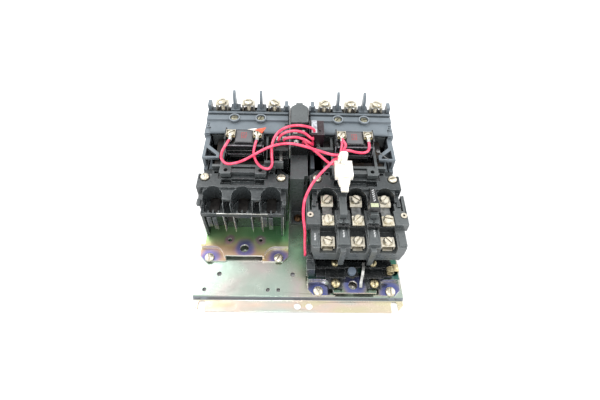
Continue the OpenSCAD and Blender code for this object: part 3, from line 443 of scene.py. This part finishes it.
def middle_x(node):
    """The X of a node's middle, in millimetres."""
    lo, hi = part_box(node)
    return (lo.x + hi.x) / 2 / MM


# The middles of the two contactors, in millimetres, and of all the brackets' screws, in metres
LEFT_X = middle_x("left_coil")
RIGHT_X = middle_x("right_coil")
SIDES = {"left": LEFT_X, "right": RIGHT_X}
BRACKET_SCREWS = [lo.lerp(hi, 0.5) for lo, hi in islands("bracket_screws")]
# Half the distance between a contactor's poles, and half that between a coil's terminals
HALF_PITCH = 13.5
COIL_TERMINAL_X = 12.8


# ---------- making pieces ----------

MOULDED_EDGE = 0.3 * MM
METAL_EDGE = 0.15 * MM
SHEET_EDGE = 0.25 * MM


def settle(obj, node, material=None):
    """Gives a piece its material, by default the one for its CAD node's slot, and its CAD node's body.
    """
    obj.data.materials.clear()
    obj.data.materials.append(material or MATERIALS[SLOT_OF[node]])
    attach(obj, BODY_OF[node])
    return obj


def shade(bm, smooth_angle):
    """Shades faces smooth across edges that bend less than an angle in degrees."""
    limit = math.radians(smooth_angle)
    for f in bm.faces:
        f.smooth = True
    for e in bm.edges:
        e.smooth = len(e.link_faces) == 2 and e.calc_face_angle(0) < limit


def to_object(bm, name, smooth_angle=35):
    """A bmesh as a new object, shaded smooth up to an angle."""
    mesh = bpy.data.meshes.new(name)
    bm.normal_update()
    shade(bm, smooth_angle)
    bm.to_mesh(mesh)
    bm.free()
    obj = bpy.data.objects.new(name, mesh)
    bpy.context.scene.collection.objects.link(obj)
    return obj


def rounded(bm, width, segments, pick=None):
    """Rounds the sharp edges of a bmesh, or those of them that pick chooses."""
    limit = math.radians(28)
    edges = [e for e in bm.edges if len(e.link_faces) == 2 and e.calc_face_angle(0) > limit
             and (pick is None or pick(e))]
    bmesh.ops.bevel(bm, geom=edges, offset=width, offset_type="OFFSET", segments=segments,
                    profile=0.5, affect="EDGES", clamp_overlap=True, miter_outer="ARC")


def bake(obj):
    """Applies an object's modifiers to its mesh, and evens out its shading."""
    graph = bpy.context.evaluated_depsgraph_get()
    mesh = bpy.data.meshes.new_from_object(obj.evaluated_get(graph))
    obj.modifiers.clear()
    obj.data = mesh
    bm = bmesh.new()
    bm.from_mesh(mesh)
    bmesh.ops.remove_doubles(bm, verts=bm.verts, dist=1e-6)
    bmesh.ops.dissolve_degenerate(bm, edges=bm.edges, dist=1e-6)
    shade(bm, 35)
    bm.to_mesh(mesh)
    bm.free()
    even = obj.modifiers.new("even_shading", "WEIGHTED_NORMAL")
    even.keep_sharp = True
    even.weight = 80


def bevel_edges(obj, width, angle):
    """Rounds an object's edges that bend by more than an angle in degrees."""
    bevel = obj.modifiers.new("edges", "BEVEL")
    bevel.width = width
    bevel.segments = 2
    bevel.limit_method = "ANGLE"
    bevel.angle_limit = math.radians(angle)
    bevel.use_clamp_overlap = False
    bake(obj)


# Joining these nodes' flats would close the recesses in them
KEEP_FLATS_SPLIT = ("left_load_block", "right_load_block", "relay_body")


def soften(node, width, material=None, stages=()):
    """A moulded or pressed copy of a CAD node with its edges rounded, after any wider stages."""
    bm = welded(node)
    if node not in KEEP_FLATS_SPLIT:
        bmesh.ops.dissolve_limit(bm, angle_limit=math.radians(0.4), verts=bm.verts, edges=bm.edges)
    bmesh.ops.dissolve_degenerate(bm, edges=bm.edges, dist=2e-6)
    for stage_width, stage_segments, pick in stages:
        rounded(bm, stage_width, stage_segments, pick)
    obj = to_object(bm, node + "_finished")
    bevel_edges(obj, width, 30)
    settle(obj, node, material)
    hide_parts(node)


def cut(obj, cutter):
    """Cuts one object's shape out of another, and drops the cutter."""
    boolean = obj.modifiers.new("cut", "BOOLEAN")
    boolean.operation = "DIFFERENCE"
    boolean.object = cutter
    boolean.solver = "EXACT"
    bake(obj)
    bpy.data.objects.remove(cutter)


def lathe(bm, profile, centre, sides):
    """Turns a profile of (radius, height) points round a vertical line through centre."""
    rings = []
    for r, z in profile:
        if r < 1e-7:
            rings.append([bm.verts.new(centre + Vector((0, 0, z)))])
        else:
            rings.append([bm.verts.new(centre + Vector((r * math.cos(a), r * math.sin(a), z)))
                          for a in (2 * math.pi * k / sides for k in range(sides))])
    for low, high in zip(rings, rings[1:]):
        for k in range(sides):
            a, b = low[k % len(low)], low[(k + 1) % len(low)]
            c, d = high[(k + 1) % len(high)], high[k % len(high)]
            corners = []
            for v in (a, b, c, d):
                if v not in corners:
                    corners.append(v)
            if len(corners) > 2:
                bm.faces.new(corners)


def brick(bm, lo, hi, bevel=0.0, segments=2):
    """A box between two corners, with rounded edges if bevel is given."""
    made = bmesh.ops.create_cube(bm, size=1.0)["verts"]
    size = Vector(hi) - Vector(lo)
    middle = (Vector(hi) + Vector(lo)) / 2
    for v in made:
        v.co = Vector((v.co.x * size.x, v.co.y * size.y, v.co.z * size.z)) + middle
    if bevel:
        edges = list({e for v in made for e in v.link_edges})
        bmesh.ops.bevel(bm, geom=edges, offset=bevel, offset_type="OFFSET", segments=segments,
                        profile=0.5, affect="EDGES", clamp_overlap=True)


def loft(bm, rings):
    """A closed skin over rings of vertices, each with as many as the next."""
    for low, high in zip(rings, rings[1:]):
        for k in range(len(low)):
            after = (k + 1) % len(low)
            bm.faces.new((low[k], low[after], high[after], high[k]))
    bm.faces.new(list(reversed(rings[0])))
    bm.faces.new(rings[-1])


def directions(points):
    """The direction of a line of points at each of them."""
    last = len(points) - 1
    return [(points[min(i + 1, last)] - points[max(i - 1, 0)]).normalized() for i in range(last + 1)]


def sweep(bm, points, radii, sides):
    """A tube along points, without twist. Its radius is one number, or one for each point."""
    if isinstance(radii, float):
        radii = [radii] * len(points)
    ahead = directions(points)
    side = ahead[0].orthogonal().normalized()
    rings = []
    for p, t, r in zip(points, ahead, radii):
        side = (side - t * side.dot(t)).normalized()
        up = t.cross(side)
        rings.append([bm.verts.new(p + r * (side * math.cos(a) + up * math.sin(a)))
                      for a in (2 * math.pi * k / sides for k in range(sides))])
    loft(bm, rings)


def curve_through(points, steps):
    """Points along the smooth curve that passes through the given ones."""
    out = []
    last = len(points) - 1
    for i in range(last):
        a, b = points[max(i - 1, 0)], points[i]
        c, d = points[i + 1], points[min(i + 2, last)]
        for k in range(steps):
            t = k / steps
            out.append(0.5 * (2 * b + (c - a) * t + (2 * a - 5 * b + 4 * c - d) * t * t
                              + (3 * b - a - 3 * c + d) * t ** 3))
    out.append(points[last])
    return out


# ---------- screws ----------

def screw_head(radius, height, slot, name):
    """A slotted head: rolled rim, low dome and a milled slot, at the origin."""
    bm = bmesh.new()
    neck = radius * 0.9
    profile = [(0, -0.2 * height), (neck, -0.2 * height), (neck, 0), (radius, 0.06 * height),
               (radius, 0.5 * height)]
    profile += [(radius * math.cos(a), height * (0.5 + 0.42 * math.sin(a)))
                for a in (math.radians(d) for d in (20, 38, 55, 70, 82))]
    profile += [(0, height * 0.94)]
    lathe(bm, profile, Vector((0, 0, 0)), 40)
    head = to_object(bm, name)
    bm = bmesh.new()
    brick(bm, (-2 * radius, -slot / 2, 0.45 * height), (2 * radius, slot / 2, 2 * height))
    cut(head, to_object(bm, name + "_slot"))
    bevel_edges(head, 0.12 * MM, 50)
    return head


def screws(node, head_height, turns, slot=1.1 * MM, material=None):
    """One piece with a threaded, slotted screw for each screw of a CAD node.

    The turns of the slots, in degrees, are given out in order and then over again."""
    found = [b for b in islands(node) if b[1].z - b[0].z > 5 * MM]
    pitch = 0.8 * MM
    root, crest, neck = 1.62 * MM, 1.86 * MM, 1.7 * MM
    bm = bmesh.new()
    for i, (lo, hi) in enumerate(found):
        radius = (hi.x - lo.x) / 2
        base = hi.z - head_height
        centre = Vector(((lo.x + hi.x) / 2, (lo.y + hi.y) / 2, 0))
        head = screw_head(radius, head_height, slot, "head")
        place = Matrix.Translation(centre + Vector((0, 0, base)))
        head.data.transform(place @ Matrix.Rotation(math.radians(turns[i % len(turns)]), 4, "Z"))
        bm.from_mesh(head.data)
        bpy.data.objects.remove(head)
        shank = []
        z = lo.z
        while z < base - pitch:
            shank += [(root, z), (crest, z + pitch / 2)]
            z += pitch
        lathe(bm, [(0, lo.z)] + shank + [(neck, base), (0, base)], centre, 16)
    obj = to_object(bm, node + "_finished")
    settle(obj, node, MATERIALS[material] if material else None)
    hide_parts(node)


# ---------- wires ----------

# Each wire's runs, as points in millimetres, with Y from the plate's front bend
ROUTES = {
    "wire_left_coil_a": [
        [(-67, 124.6, 89.4), (-67, 122.9, 89.4), (-70, 116, 88), (-73.5, 109, 85), (-74, 104, 81),
         (-69, 100, 78.5), (-61, 100.5, 79), (-52, 102, 82), (-42, 104.8, 87), (-32, 108.9, 90.5),
         (-21, 111.6, 93), (-9, 112, 94), (4, 108, 94.5), (16, 103, 94.5), (26, 99, 94.5),
         (31, 98, 94.5), (34.4, 98, 94.5)]],
    "wire_left_coil_b": [
        [(-41.4, 124.6, 89.4), (-41.4, 122.9, 89.4), (-43, 116, 87.5), (-44, 109, 84),
         (-41.5, 102, 80), (-36, 96.5, 78), (-29.5, 95, 78), (-26.5, 99, 80), (-27, 106, 84),
         (-27, 113, 88.5), (-25, 121, 92), (-20, 128, 94.5), (-12, 132, 96.5), (-3, 133, 97.5),
         (5, 132.4, 97), (10.6, 131.8, 95.4), (13, 131.6, 93.2), (13, 131.6, 91)]],
    "wire_aux_links": [
        [(-21, 123.5, 84.4), (-21, 123.5, 88), (-19, 125.4, 91.4), (-13, 128, 93.6),
         (-5, 128.6, 94.6), (3, 127.2, 93.6), (8.5, 125, 90.4), (11.4, 125.2, 87.2),
         (12, 126.8, 86), (12, 128.9, 86)],
        [(-15.6, 123.5, 84.4), (-15.6, 123.5, 88), (-12.5, 122.5, 91), (-5, 122.8, 91.8),
         (3, 122, 90.2), (8.6, 121.2, 86.6), (11.4, 122, 82.8), (12, 125, 80.6), (12, 128.9, 80.5)],
        [(3, 130.5, 74), (3, 130.5, 79), (4.6, 126, 82.2), (7, 120.5, 83.4), (10.5, 115, 85),
         (15, 109, 86), (20, 103.5, 85.4), (25, 99, 84), (28, 97.3, 83.5), (30.8, 97, 83.5)]],
    "wire_right_coil": [
        [(39.4, 124.6, 89.4), (39.4, 122.9, 89.4), (39, 116.5, 90.4), (38, 109.5, 92),
         (37, 104.8, 93.4), (37, 101, 93.5)],
        [(39.4, 124.6, 89.4), (39.8, 122.6, 90.2), (41.4, 116.5, 91.6), (41.6, 110.5, 93.6),
         (39.4, 105, 94.6), (39, 101, 94.6)],
        [(65, 124.6, 89.4), (65, 122.9, 89.4), (65, 116, 88.4), (63.4, 110.4, 87.8),
         (58.5, 107.2, 88.4), (51.5, 106.6, 89.6), (45, 106.8, 91.4), (41.4, 105, 93),
         (41, 101, 93.5)]],
    "wire_relay": [
        [(35.4, 97.6, 90.6), (31, 96.4, 90.6), (25.6, 90, 90), (19, 83, 88), (12, 75, 85),
         (7, 67, 81.5), (3.6, 59, 77.5), (2.6, 52, 72.5), (3, 46.5, 66), (4, 43, 59),
         (4.6, 40, 51.5), (4.8, 37, 44), (5, 34, 37.5), (5.4, 32, 33.4), (5.4, 31.5, 29.1)]],
}
WIRE_RADIUS = 1.25 * MM


def placed(point):
    """A point in millimetres, with Y from the plate's front bend, as metres in the part's frame."""
    return Vector((point[0] * MM, point[1] * MM + FRONT_BEND_Y, point[2] * MM))


def wires(node):
    """The insulated runs of one CAD node."""
    bm = bmesh.new()
    for route in ROUTES[node]:
        sweep(bm, curve_through([placed(p) for p in route], 7), WIRE_RADIUS, 18)
    obj = settle(to_object(bm, node + "_insulation", 60), node)
    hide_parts(node)


# ---------- details, placed in millimetres from the plate's front bend ----------

def box_mm(bm, x, y, z, bevel=0.0, segments=2):
    """A box between two values along each axis, all in millimetres."""
    brick(bm, placed((x[0], y[0], z[0])), placed((x[1], y[1], z[1])), bevel * MM, segments)


def about(middle, half):
    """The two ends of a span that reaches half to each side of its middle."""
    return middle - half, middle + half


def detail(bm, name, material, node, smooth_angle=35):
    """A small piece of its own material that moves with a CAD node's body."""
    return settle(to_object(bm, name, smooth_angle), node, MATERIALS[material])


def helix(bm, lo, hi, radius, turns):
    """A coil spring as long as a box, along Y through the box's middle."""
    wire = 0.42 * MM
    length = hi.y - lo.y - 2 * wire
    along = Vector((0, 1, 0))
    side = along.orthogonal().normalized()
    up = along.cross(side)
    steps = turns * 16
    points = []
    for k in range(steps + 1):
        turn = 2 * math.pi * turns * k / steps
        spoke = radius * (side * math.cos(turn) + up * math.sin(turn))
        points.append((lo + hi) / 2 + along * (length * k / steps - length / 2) + spoke)
    sweep(bm, points, wire, 8)


def springs():
    """The contact springs and the reset spring, wound."""
    for side in SIDES:
        node = side + "_contact_springs"
        bm = bmesh.new()
        for lo, hi in islands(node):
            helix(bm, lo, hi, 3.1 * MM, 4)
        obj = settle(to_object(bm, node + "_coils", 60), node)
        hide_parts(node)
    bm = bmesh.new()
    lo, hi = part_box("reset_spring")
    helix(bm, lo, hi, 2.9 * MM, 5)
    obj = detail(bm, "reset_spring_coils", "screw_brass", "reset_spring", 60)
    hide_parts("reset_spring")


def cover_bosses():
    """Raised rims round the recesses of the cover screws, in a paler plastic that is partly wear and
    partly a painted highlight.
    """
    bm = bmesh.new()
    for lo, hi in islands("cover_screws"):
        if hi.z < 70 * MM:
            continue
        centre = Vector(((lo.x + hi.x) / 2, (lo.y + hi.y) / 2, 81.6 * MM))
        rim = [(4.3, 0), (5.5, 0), (5.5, 1.4), (5.2, 1.8), (4.7, 1.8), (4.3, 1.2), (4.3, 0)]
        lathe(bm, [(r * MM, z * MM) for r, z in rim], centre, 40)
    detail(bm, "cover_screw_bosses", "boss_rim", "left_contact_cover")


def coil_details(side, centre):
    """Moulded ribs down a coil's front, in a paler grey that paints their highlights, its terminals'
    turned-up edges and the marks on its plate.

    The ribs and ledges stay above the armature, which slides up to the coil below them."""
    bm = bmesh.new()
    # The ribs' paler plastic is a painted highlight on the black coil.
    for z in (84.6, 73.2):
        box_mm(bm, about(centre, 16.8), (117.3, 119), about(z, 0.45), 0.3)
    for x in (-18.2, 18.2):
        box_mm(bm, about(centre + x, 0.4), (117.4, 119.2), (70.5, 84), 0.3)
    detail(bm, side + "_coil_ribs", "coil_edge", side + "_coil")
    bm = bmesh.new()
    box_mm(bm, about(centre, 15.5), (116.4, 119), (75.4, 79.4), 0.7, 3)
    box_mm(bm, about(centre, 14.5), (115.8, 119), (69.8, 72.2), 0.7, 3)
    detail(bm, side + "_coil_ledges", "deep_plastic", side + "_coil")
    bm = bmesh.new()
    for terminal in about(centre, COIL_TERMINAL_X):
        for edge in (terminal - 4.3, terminal + 3.7):
            box_mm(bm, (edge, edge + 0.6), (125.2, 133.4), (88.6, 91.2), 0.2)
        box_mm(bm, about(terminal, 4.2), (133, 133.6), (88.6, 90.6), 0.2)
    detail(bm, side + "_coil_clamp_edges", "saddle_steel", "coil_terminals")
    bm = bmesh.new()
    for y, half in ((131.3, 2.9), (129.5, 3.4), (127.7, 3.4), (125.9, 2.6), (124.3, 3.0)):
        for x in (centre - half, centre - half / 3, centre + half / 3):
            box_mm(bm, (x, x + half * 0.4), about(y, 0.35), (88.58, 88.66))
    detail(bm, side + "_coil_plate_marks", "mark_red", "coil_plates")


def crimps():
    """Crimped barrels where the wires meet the coil terminals, each with two pinches."""
    bm = bmesh.new()
    radii = [r * MM for r in (1.2, 1.9, 1.9, 1.55, 1.9, 1.95, 1.95, 1.5, 1.9, 1.95, 1.7)]
    for x in (-67, -41.4, 39.4, 65):
        points = [placed((x, 125.6 - 0.55 * k, 89.4 - 0.03 * k)) for k in range(len(radii))]
        sweep(bm, points, radii, 20)
    detail(bm, "wire_crimp_barrels", "lug_silver", "coil_terminals", 50)


def paper_tag():
    """A torn paper tag caught under one coil terminal: a white sliver and an orange corner."""
    sliver = [(-51, 133.4), (-44, 131.6), (-40, 132.4), (-43, 134.4)]
    corner = [(-44.5, 132.6), (-33.4, 136), (-37, 127.6), (-40, 130.6)]
    for name, material, outline, z in (("tag_sliver", "tag_white", sliver, 91.2),
                                       ("tag_corner", "tag_orange", corner, 91.6)):
        bm = bmesh.new()
        low = [bm.verts.new(placed((x, y, z + 0.25 * math.sin(x)))) for x, y in outline]
        high = [bm.verts.new(v.co + Vector((0, 0, 0.22 * MM))) for v in low]
        loft(bm, [low, high])
        detail(bm, name, material, "coil_terminals")


def block_details():
    """Painted highlights along the front edges of the left block's fins, as thin bright strips, and
    both blocks' posts, recess floors and relief.
    """
    bm = bmesh.new()
    # Painted highlight: thin bright metal strips on the fins' front edges and along the block's front.
    for x, bottom in ((8.6, 20), (18.2, 20), (38.6, 13)):
        for fin in about(LEFT_X, x):
            box_mm(bm, about(fin, 0.35), (61.7, 62.5), (bottom, 46.5), 0.12)
    box_mm(bm, about(LEFT_X, 24), (61.7, 62.6), (50.5, 51.3), 0.2)
    detail(bm, "fin_edge_highlights", "lug_silver", "left_load_block")
    for side, centre in SIDES.items():
        bm = bmesh.new()
        for gap in about(centre, HALF_PITCH):
            for wall in (gap - 3.8, gap + 3.0):
                box_mm(bm, (wall, wall + 0.8), (63.4, 70.4), (50.6, 63), 0.25)
            box_mm(bm, about(gap, 4.1), (67.6, 71), (62.4, 66.3), 0.5)
        for outer in about(centre, 39.4):
            box_mm(bm, about(outer, 1.7), (65, 71), (58, 62.3), 0.5)
        detail(bm, side + "_bay_posts", "block_plastic", side + "_load_block")
        bm = bmesh.new()
        box_mm(bm, about(centre, 11), (82.9, 90.2), (56.2, 62.6), 0.5)
        box_mm(bm, about(centre, 10.2), (82.9, 84.6), (62, 66.2), 0.5)
        for rib in (centre - 28.5, centre + 24.5):
            box_mm(bm, (rib, rib + 4), (60.6, 62.4), (26, 46), 0.4)
            box_mm(bm, (rib - 5.5, rib - 1.5), (61, 62.4), (30, 46), 0.4)
        detail(bm, side + "_block_relief", "block_plastic", side + "_load_block")


def relay_label_cap():
    """The tapering black label cap over the relay's right barrier, with dashes and a pale end."""
    near_y, far_y, near_z, far_z = 53.6, 78, 75.2, 72.6
    bm = bmesh.new()
    rings = []
    for outline in (((7.6, 52.6, 70.1), (19.0, 52.6, 70.1), (17.4, 79, 70.1), (11.4, 79, 70.1)),
                    ((8.4, near_y, near_z), (18.2, near_y, near_z), (16.6, far_y, far_z),
                     (12.2, far_y, far_z))):
        rings.append([bm.verts.new(placed((RIGHT_X + x, y, z))) for x, y, z in outline])
    loft(bm, rings)
    rounded(bm, 0.5 * MM, 3)
    obj = detail(bm, "relay_label_cap", "deep_plastic", "relay_label")
    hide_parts("relay_label")
    bm = bmesh.new()
    slope = (near_z - far_z) / (far_y - near_y)
    for k in range(6):
        y = 62 + 2.5 * k
        z = near_z - (y - near_y) * slope
        for half in (-0.5, 0.5):
            x = RIGHT_X + 14.1 + 1.1 * half
            box_mm(bm, about(x, 0.5), (y + half, y + half + 0.85), about(z, 0.1))
    detail(bm, "relay_label_dashes", "mark_white", "relay_label")
    bm = bmesh.new()
    box_mm(bm, about(RIGHT_X + 13.3, 3.5), (54.6, 58.8), (74.4, 75.3), 0.15)
    detail(bm, "relay_label_end", "label_cream", "relay_label")


def relay_details():
    """The relay's bars with two pegs each, the dashes on its posts, a bent strip, a tab and ribs."""
    bm = bmesh.new()
    for gap in about(RIGHT_X, HALF_PITCH):
        for peg in about(gap, 3.1):
            box_mm(bm, about(peg, 1.9), (42.6, 47), (56.6, 61.8), 0.7, 3)
        box_mm(bm, about(gap, 5.6), (43.4, 48.5), (56.6, 60), 0.5)
    detail(bm, "relay_pegs", "deep_plastic", "relay_body")
    bm = bmesh.new()
    for x, y, z in ((-13.2, 34.6, 57.02), (14.4, 35, 57.02), (-38.6, 33, 54.02)):
        for k in range(5):
            left = RIGHT_X + x - 0.9 + 0.3 * (k % 2)
            low = y + 1.5 * k
            box_mm(bm, (left, left + 1.4), (low, low + 0.8), (z, z + 0.08))
    detail(bm, "relay_post_dashes", "mark_white", "relay_body")
    bm = bmesh.new()
    points = [placed(p) for p in ((61.4, 28.5, 20.5), (61, 24, 20.4), (60.2, 19.5, 20),
                                  (59.4, 15.4, 18.4), (59, 13.6, 15.6), (58.4, 11, 13.8),
                                  (57.8, 6.5, 13.4))]
    ribbon(bm, curve_through(points, 4), 1.3 * MM, 0.5 * MM)
    detail(bm, "relay_bent_strip", "lug_silver", "relay_base")
    bm = bmesh.new()
    box_mm(bm, (88.6, 95), (21, 28.5), (17.2, 17.9), 0.2)
    box_mm(bm, (94.3, 95), (21, 28.5), (13, 17.9), 0.2)
    detail(bm, "relay_brass_tab", "screw_brass", "relay_base")
    bm = bmesh.new()
    for foot in about(RIGHT_X, 18):
        for rib in about(foot, 5.4):
            box_mm(bm, about(rib, 0.8), (4.2, 14), (14.4, 16.6), 0.3)
        box_mm(bm, about(foot, 6.4), (13.2, 14.6), (14.4, 19), 0.3)
    detail(bm, "relay_base_ribs", "deep_plastic", "relay_base")


def ribbon(bm, points, half_width, thickness):
    """A flat strip along points, with its width along X."""
    wide = Vector((half_width, 0, 0))
    rings = []
    for p, ahead in zip(points, directions(points)):
        deep = Vector((1, 0, 0)).cross(ahead).normalized() * thickness
        corners = (p - wide, p + wide, p + wide + deep, p - wide + deep)
        rings.append([bm.verts.new(corner) for corner in corners])
    loft(bm, rings)


def coil_hook():
    """The small rod with a hooked end beside the right coil."""
    bm = bmesh.new()
    points = [placed(p) for p in ((74, 118, 80.5), (75.6, 116.4, 80.8), (78, 113.8, 80.2),
                                  (81, 111, 79.6), (84.4, 108, 79.4))]
    sweep(bm, curve_through(points, 4), 0.45 * MM, 10)
    collar = [(0.7, 0), (1.8, 0), (1.9, 0.5), (1.2, 0.9), (0.7, 0.9)]
    lathe(bm, [(r * MM, z * MM) for r, z in collar], placed((75, 117.2, 80.4)), 20)
    detail(bm, "coil_hook", "strap_grey", "right_contact_body")


def aux_details():
    """The auxiliary blocks' terminals and the label on the right one."""
    bm = bmesh.new()
    box_mm(bm, (10.8, 16), (130.2, 148), (91, 91.15))
    for y in (133, 138, 143):
        box_mm(bm, (10.8, 16), (y, y + 0.6), (91.1, 91.3))
    detail(bm, "right_aux_label", "label_grey", "right_aux_block")
    bm = bmesh.new()
    head = [(r * MM, z * MM) for r, z in ((0, 0.7), (1.6, 0.7), (1.6, 1.7), (1.2, 2.0), (0, 2.0))]
    for x, y, z in ((-21, 125.6, 87), (-15.6, 125.6, 87), (-5, 141.5, 81), (3, 141.5, 81),
                    (-4, 130.5, 78)):
        box_mm(bm, about(x, 2), about(y, 2.4), (z, z + 0.8), 0.2)
        lathe(bm, head, placed((x, y, z)), 24)
    detail(bm, "aux_terminals", "lug_silver", "centre_aux_block")


def tie():
    """The nylon tie: a flag plate with a tapering tongue, and a knotted head round the wires."""
    bm = bmesh.new()
    box_mm(bm, (31.1, 47.4), (80.2, 98.8), (80.4, 86.9), 0.5, 3)
    rings = []
    for y, half, top in ((80.4, 5.6, 84), (74, 4.6, 82.8), (73, 3.6, 82.6), (67.4, 3.2, 81.2)):
        left, right = about(39.3, half)
        rings.append([bm.verts.new(placed((x, y, z))) for x, z in
                      ((left, 79.1), (right, 79.1), (right, top), (left, top))])
    loft(bm, rings)
    box_mm(bm, (34.7, 42.8), (95.8, 101.3), (86.2, 97.6), 2.4, 4)
    box_mm(bm, (33.6, 36.4), (94.6, 99.4), (87.5, 95.5), 1.2, 4)
    box_mm(bm, (36.6, 41.4), (92.6, 96.6), (86.4, 91), 1.0, 3)
    obj = settle(to_object(bm, "cable_tie_finished", 50), "cable_tie")
    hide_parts("cable_tie")


# ---------- the assembly ----------

def long_bend(edge):
    """Whether an edge of the plate is one of the long bends where its flanges start."""
    a, b = edge.verts[0].co, edge.verts[1].co
    return abs(a.x - b.x) > 100 * MM and abs(a.y) < 94 * MM


def plate_and_brackets():
    """The sheet metal that everything is screwed to."""
    soften("base_plate", SHEET_EDGE, stages=[(0.9 * MM, 4, long_bend)])
    for side in SIDES:
        soften(side + "_bracket", SHEET_EDGE, MATERIALS[side + "_bracket"])
    screws("bracket_screws", 3.0 * MM, [100, 72, 60, 78, 105, 140, 85, 50])


def moulded_parts():
    """The plastic housings, blocks and covers."""
    for side in SIDES:
        for node in ("load_block", "contact_body", "contact_cover", "crossbar", "coil"):
            soften(side + "_" + node, MOULDED_EDGE)
    soften("left_aux_block", MOULDED_EDGE, MATERIALS["deep_plastic"])
    soften("centre_aux_block", MOULDED_EDGE, MATERIALS["deep_plastic"])
    soften("right_aux_block", MOULDED_EDGE, MATERIALS["aux_maroon"])
    for node in ("interlock_housing", "interlock_cap", "relay_body", "relay_contact_block",
                 "phase_barriers", "reset_button"):
        soften(node, MOULDED_EDGE)
    # The relay base takes the darkest black: black plastic, with shade painted into it.
    soften("relay_base", MOULDED_EDGE, MATERIALS["deep_plastic"])
    tie()


def metal_parts():
    """The terminals, contacts, magnets, springs and screws, and the small stiff pieces by them."""
    for node in ("line_clamps", "relay_line_clamps", "relay_load_clamps", "relay_straps",
                 "heater_screws", "coil_terminals", "coil_plates", "relay_rivets",
                 "interlock_lever", "interlock_pin"):
        soften(node, METAL_EDGE)
    # The contacts take the dark strap metal, which paints the shade in their bays.
    for node in ("line_contacts", "load_contacts"):
        soften(node, METAL_EDGE, MATERIALS["strap_dark"])
    for side in SIDES:
        for node in ("magnet_core", "armature", "moving_contacts", "aux_plunger"):
            soften(side + "_" + node, METAL_EDGE)
    springs()
    screws("load_block_screws", 3.6 * MM, [110, 10, 120, 15])
    screws("cover_screws", 2.0 * MM, [5, 65, 50, 20], 0.9 * MM, material="dull_steel")
    screws("coil_screws", 2.4 * MM, [35, 85, 60, 20], 0.9 * MM)
    screws("line_screws", 3.3 * MM, [35, 15, 150])
    screws("interlock_screw", 3.0 * MM, [70], material="nut_bronze")
    screws("relay_screws", 3.5 * MM, [90])


def details():
    """The small pieces, most of which have no CAD node of their own."""
    cover_bosses()
    for side, centre in SIDES.items():
        coil_details(side, centre)
    crimps()
    paper_tag()
    block_details()
    relay_label_cap()
    relay_details()
    coil_hook()
    aux_details()


# ---------- stage, light and camera ----------

def stage():
    """A plain pale floor just below the part, and a white world."""
    bm = bmesh.new()
    bmesh.ops.create_grid(bm, x_segments=1, y_segments=1, size=3.0)
    floor = to_object(bm, "floor")
    floor.location.z = -0.2 * MM
    s = Shader("floor_white")
    s.set(Base_Color=s.mix(s.noise(3, 2), (0.93, 0.93, 0.93, 1), (0.96, 0.96, 0.96, 1)), Roughness=0.8)
    floor.data.materials.append(s.mat)

    world = bpy.data.worlds.new("studio")
    bpy.context.scene.world = world
    world.use_nodes = True
    background = world.node_tree.nodes["Background"]
    background.inputs["Color"].default_value = (1, 1, 1, 1)
    background.inputs["Strength"].default_value = 1.4


def softbox(name, place, aim, width, depth, power):
    """A rectangular area light that faces a point."""
    light = bpy.data.lights.new(name, "AREA")
    light.shape = "RECTANGLE"
    light.size = width
    light.size_y = depth
    light.energy = power
    obj = bpy.data.objects.new(name, light)
    bpy.context.scene.collection.objects.link(obj)
    obj.location = place
    obj.rotation_mode = "QUATERNION"
    obj.rotation_quaternion = (Vector(aim) - Vector(place)).to_track_quat("-Z", "Y")


def lights():
    """Soft light from behind on both sides, and a small one over the front."""
    softbox("box_left", (-0.62, 0.42, 0.9), (-0.05, 0, 0.04), 0.6, 0.6, 5)
    softbox("box_right", (0.7, 0.15, 0.8), (0, 0, 0.04), 0.5, 0.4, 2.5)
    softbox("key", (-0.1, -0.35, 1.0), (0, 0, 0.04), 0.2, 0.2, 2.0)


def camera():
    """The camera stands over the front edge and looks down on the part, a little turned and tilted."""
    eye = Vector((-7.4 * MM, -224.3 * MM, 335.6 * MM))
    pitch, yaw, roll = (math.radians(a) for a in (53.23, 2.07, 2.44))
    ahead = Vector((math.sin(yaw) * math.cos(pitch), math.cos(yaw) * math.cos(pitch), -math.sin(pitch)))
    level = ahead.cross(Vector((0, 0, 1))).normalized()
    over = level.cross(ahead)
    right = level * math.cos(roll) + over * math.sin(roll)
    up = over * math.cos(roll) - level * math.sin(roll)
    data = bpy.data.cameras.new("camera")
    data.sensor_width = 36
    data.lens = 22.08
    data.clip_start = 0.01
    obj = bpy.data.objects.new("camera", data)
    bpy.context.scene.collection.objects.link(obj)
    turn = Matrix((right, up, -ahead)).transposed().to_4x4()
    obj.matrix_world = Matrix.Translation(eye) @ turn
    bpy.context.scene.camera = obj


MATERIALS = make_materials()
camera()
stage()
lights()
plate_and_brackets()
moulded_parts()
metal_parts()
details()
for wire in ROUTES:
    wires(wire)
bpy.context.scene.view_settings.view_transform = "Standard"
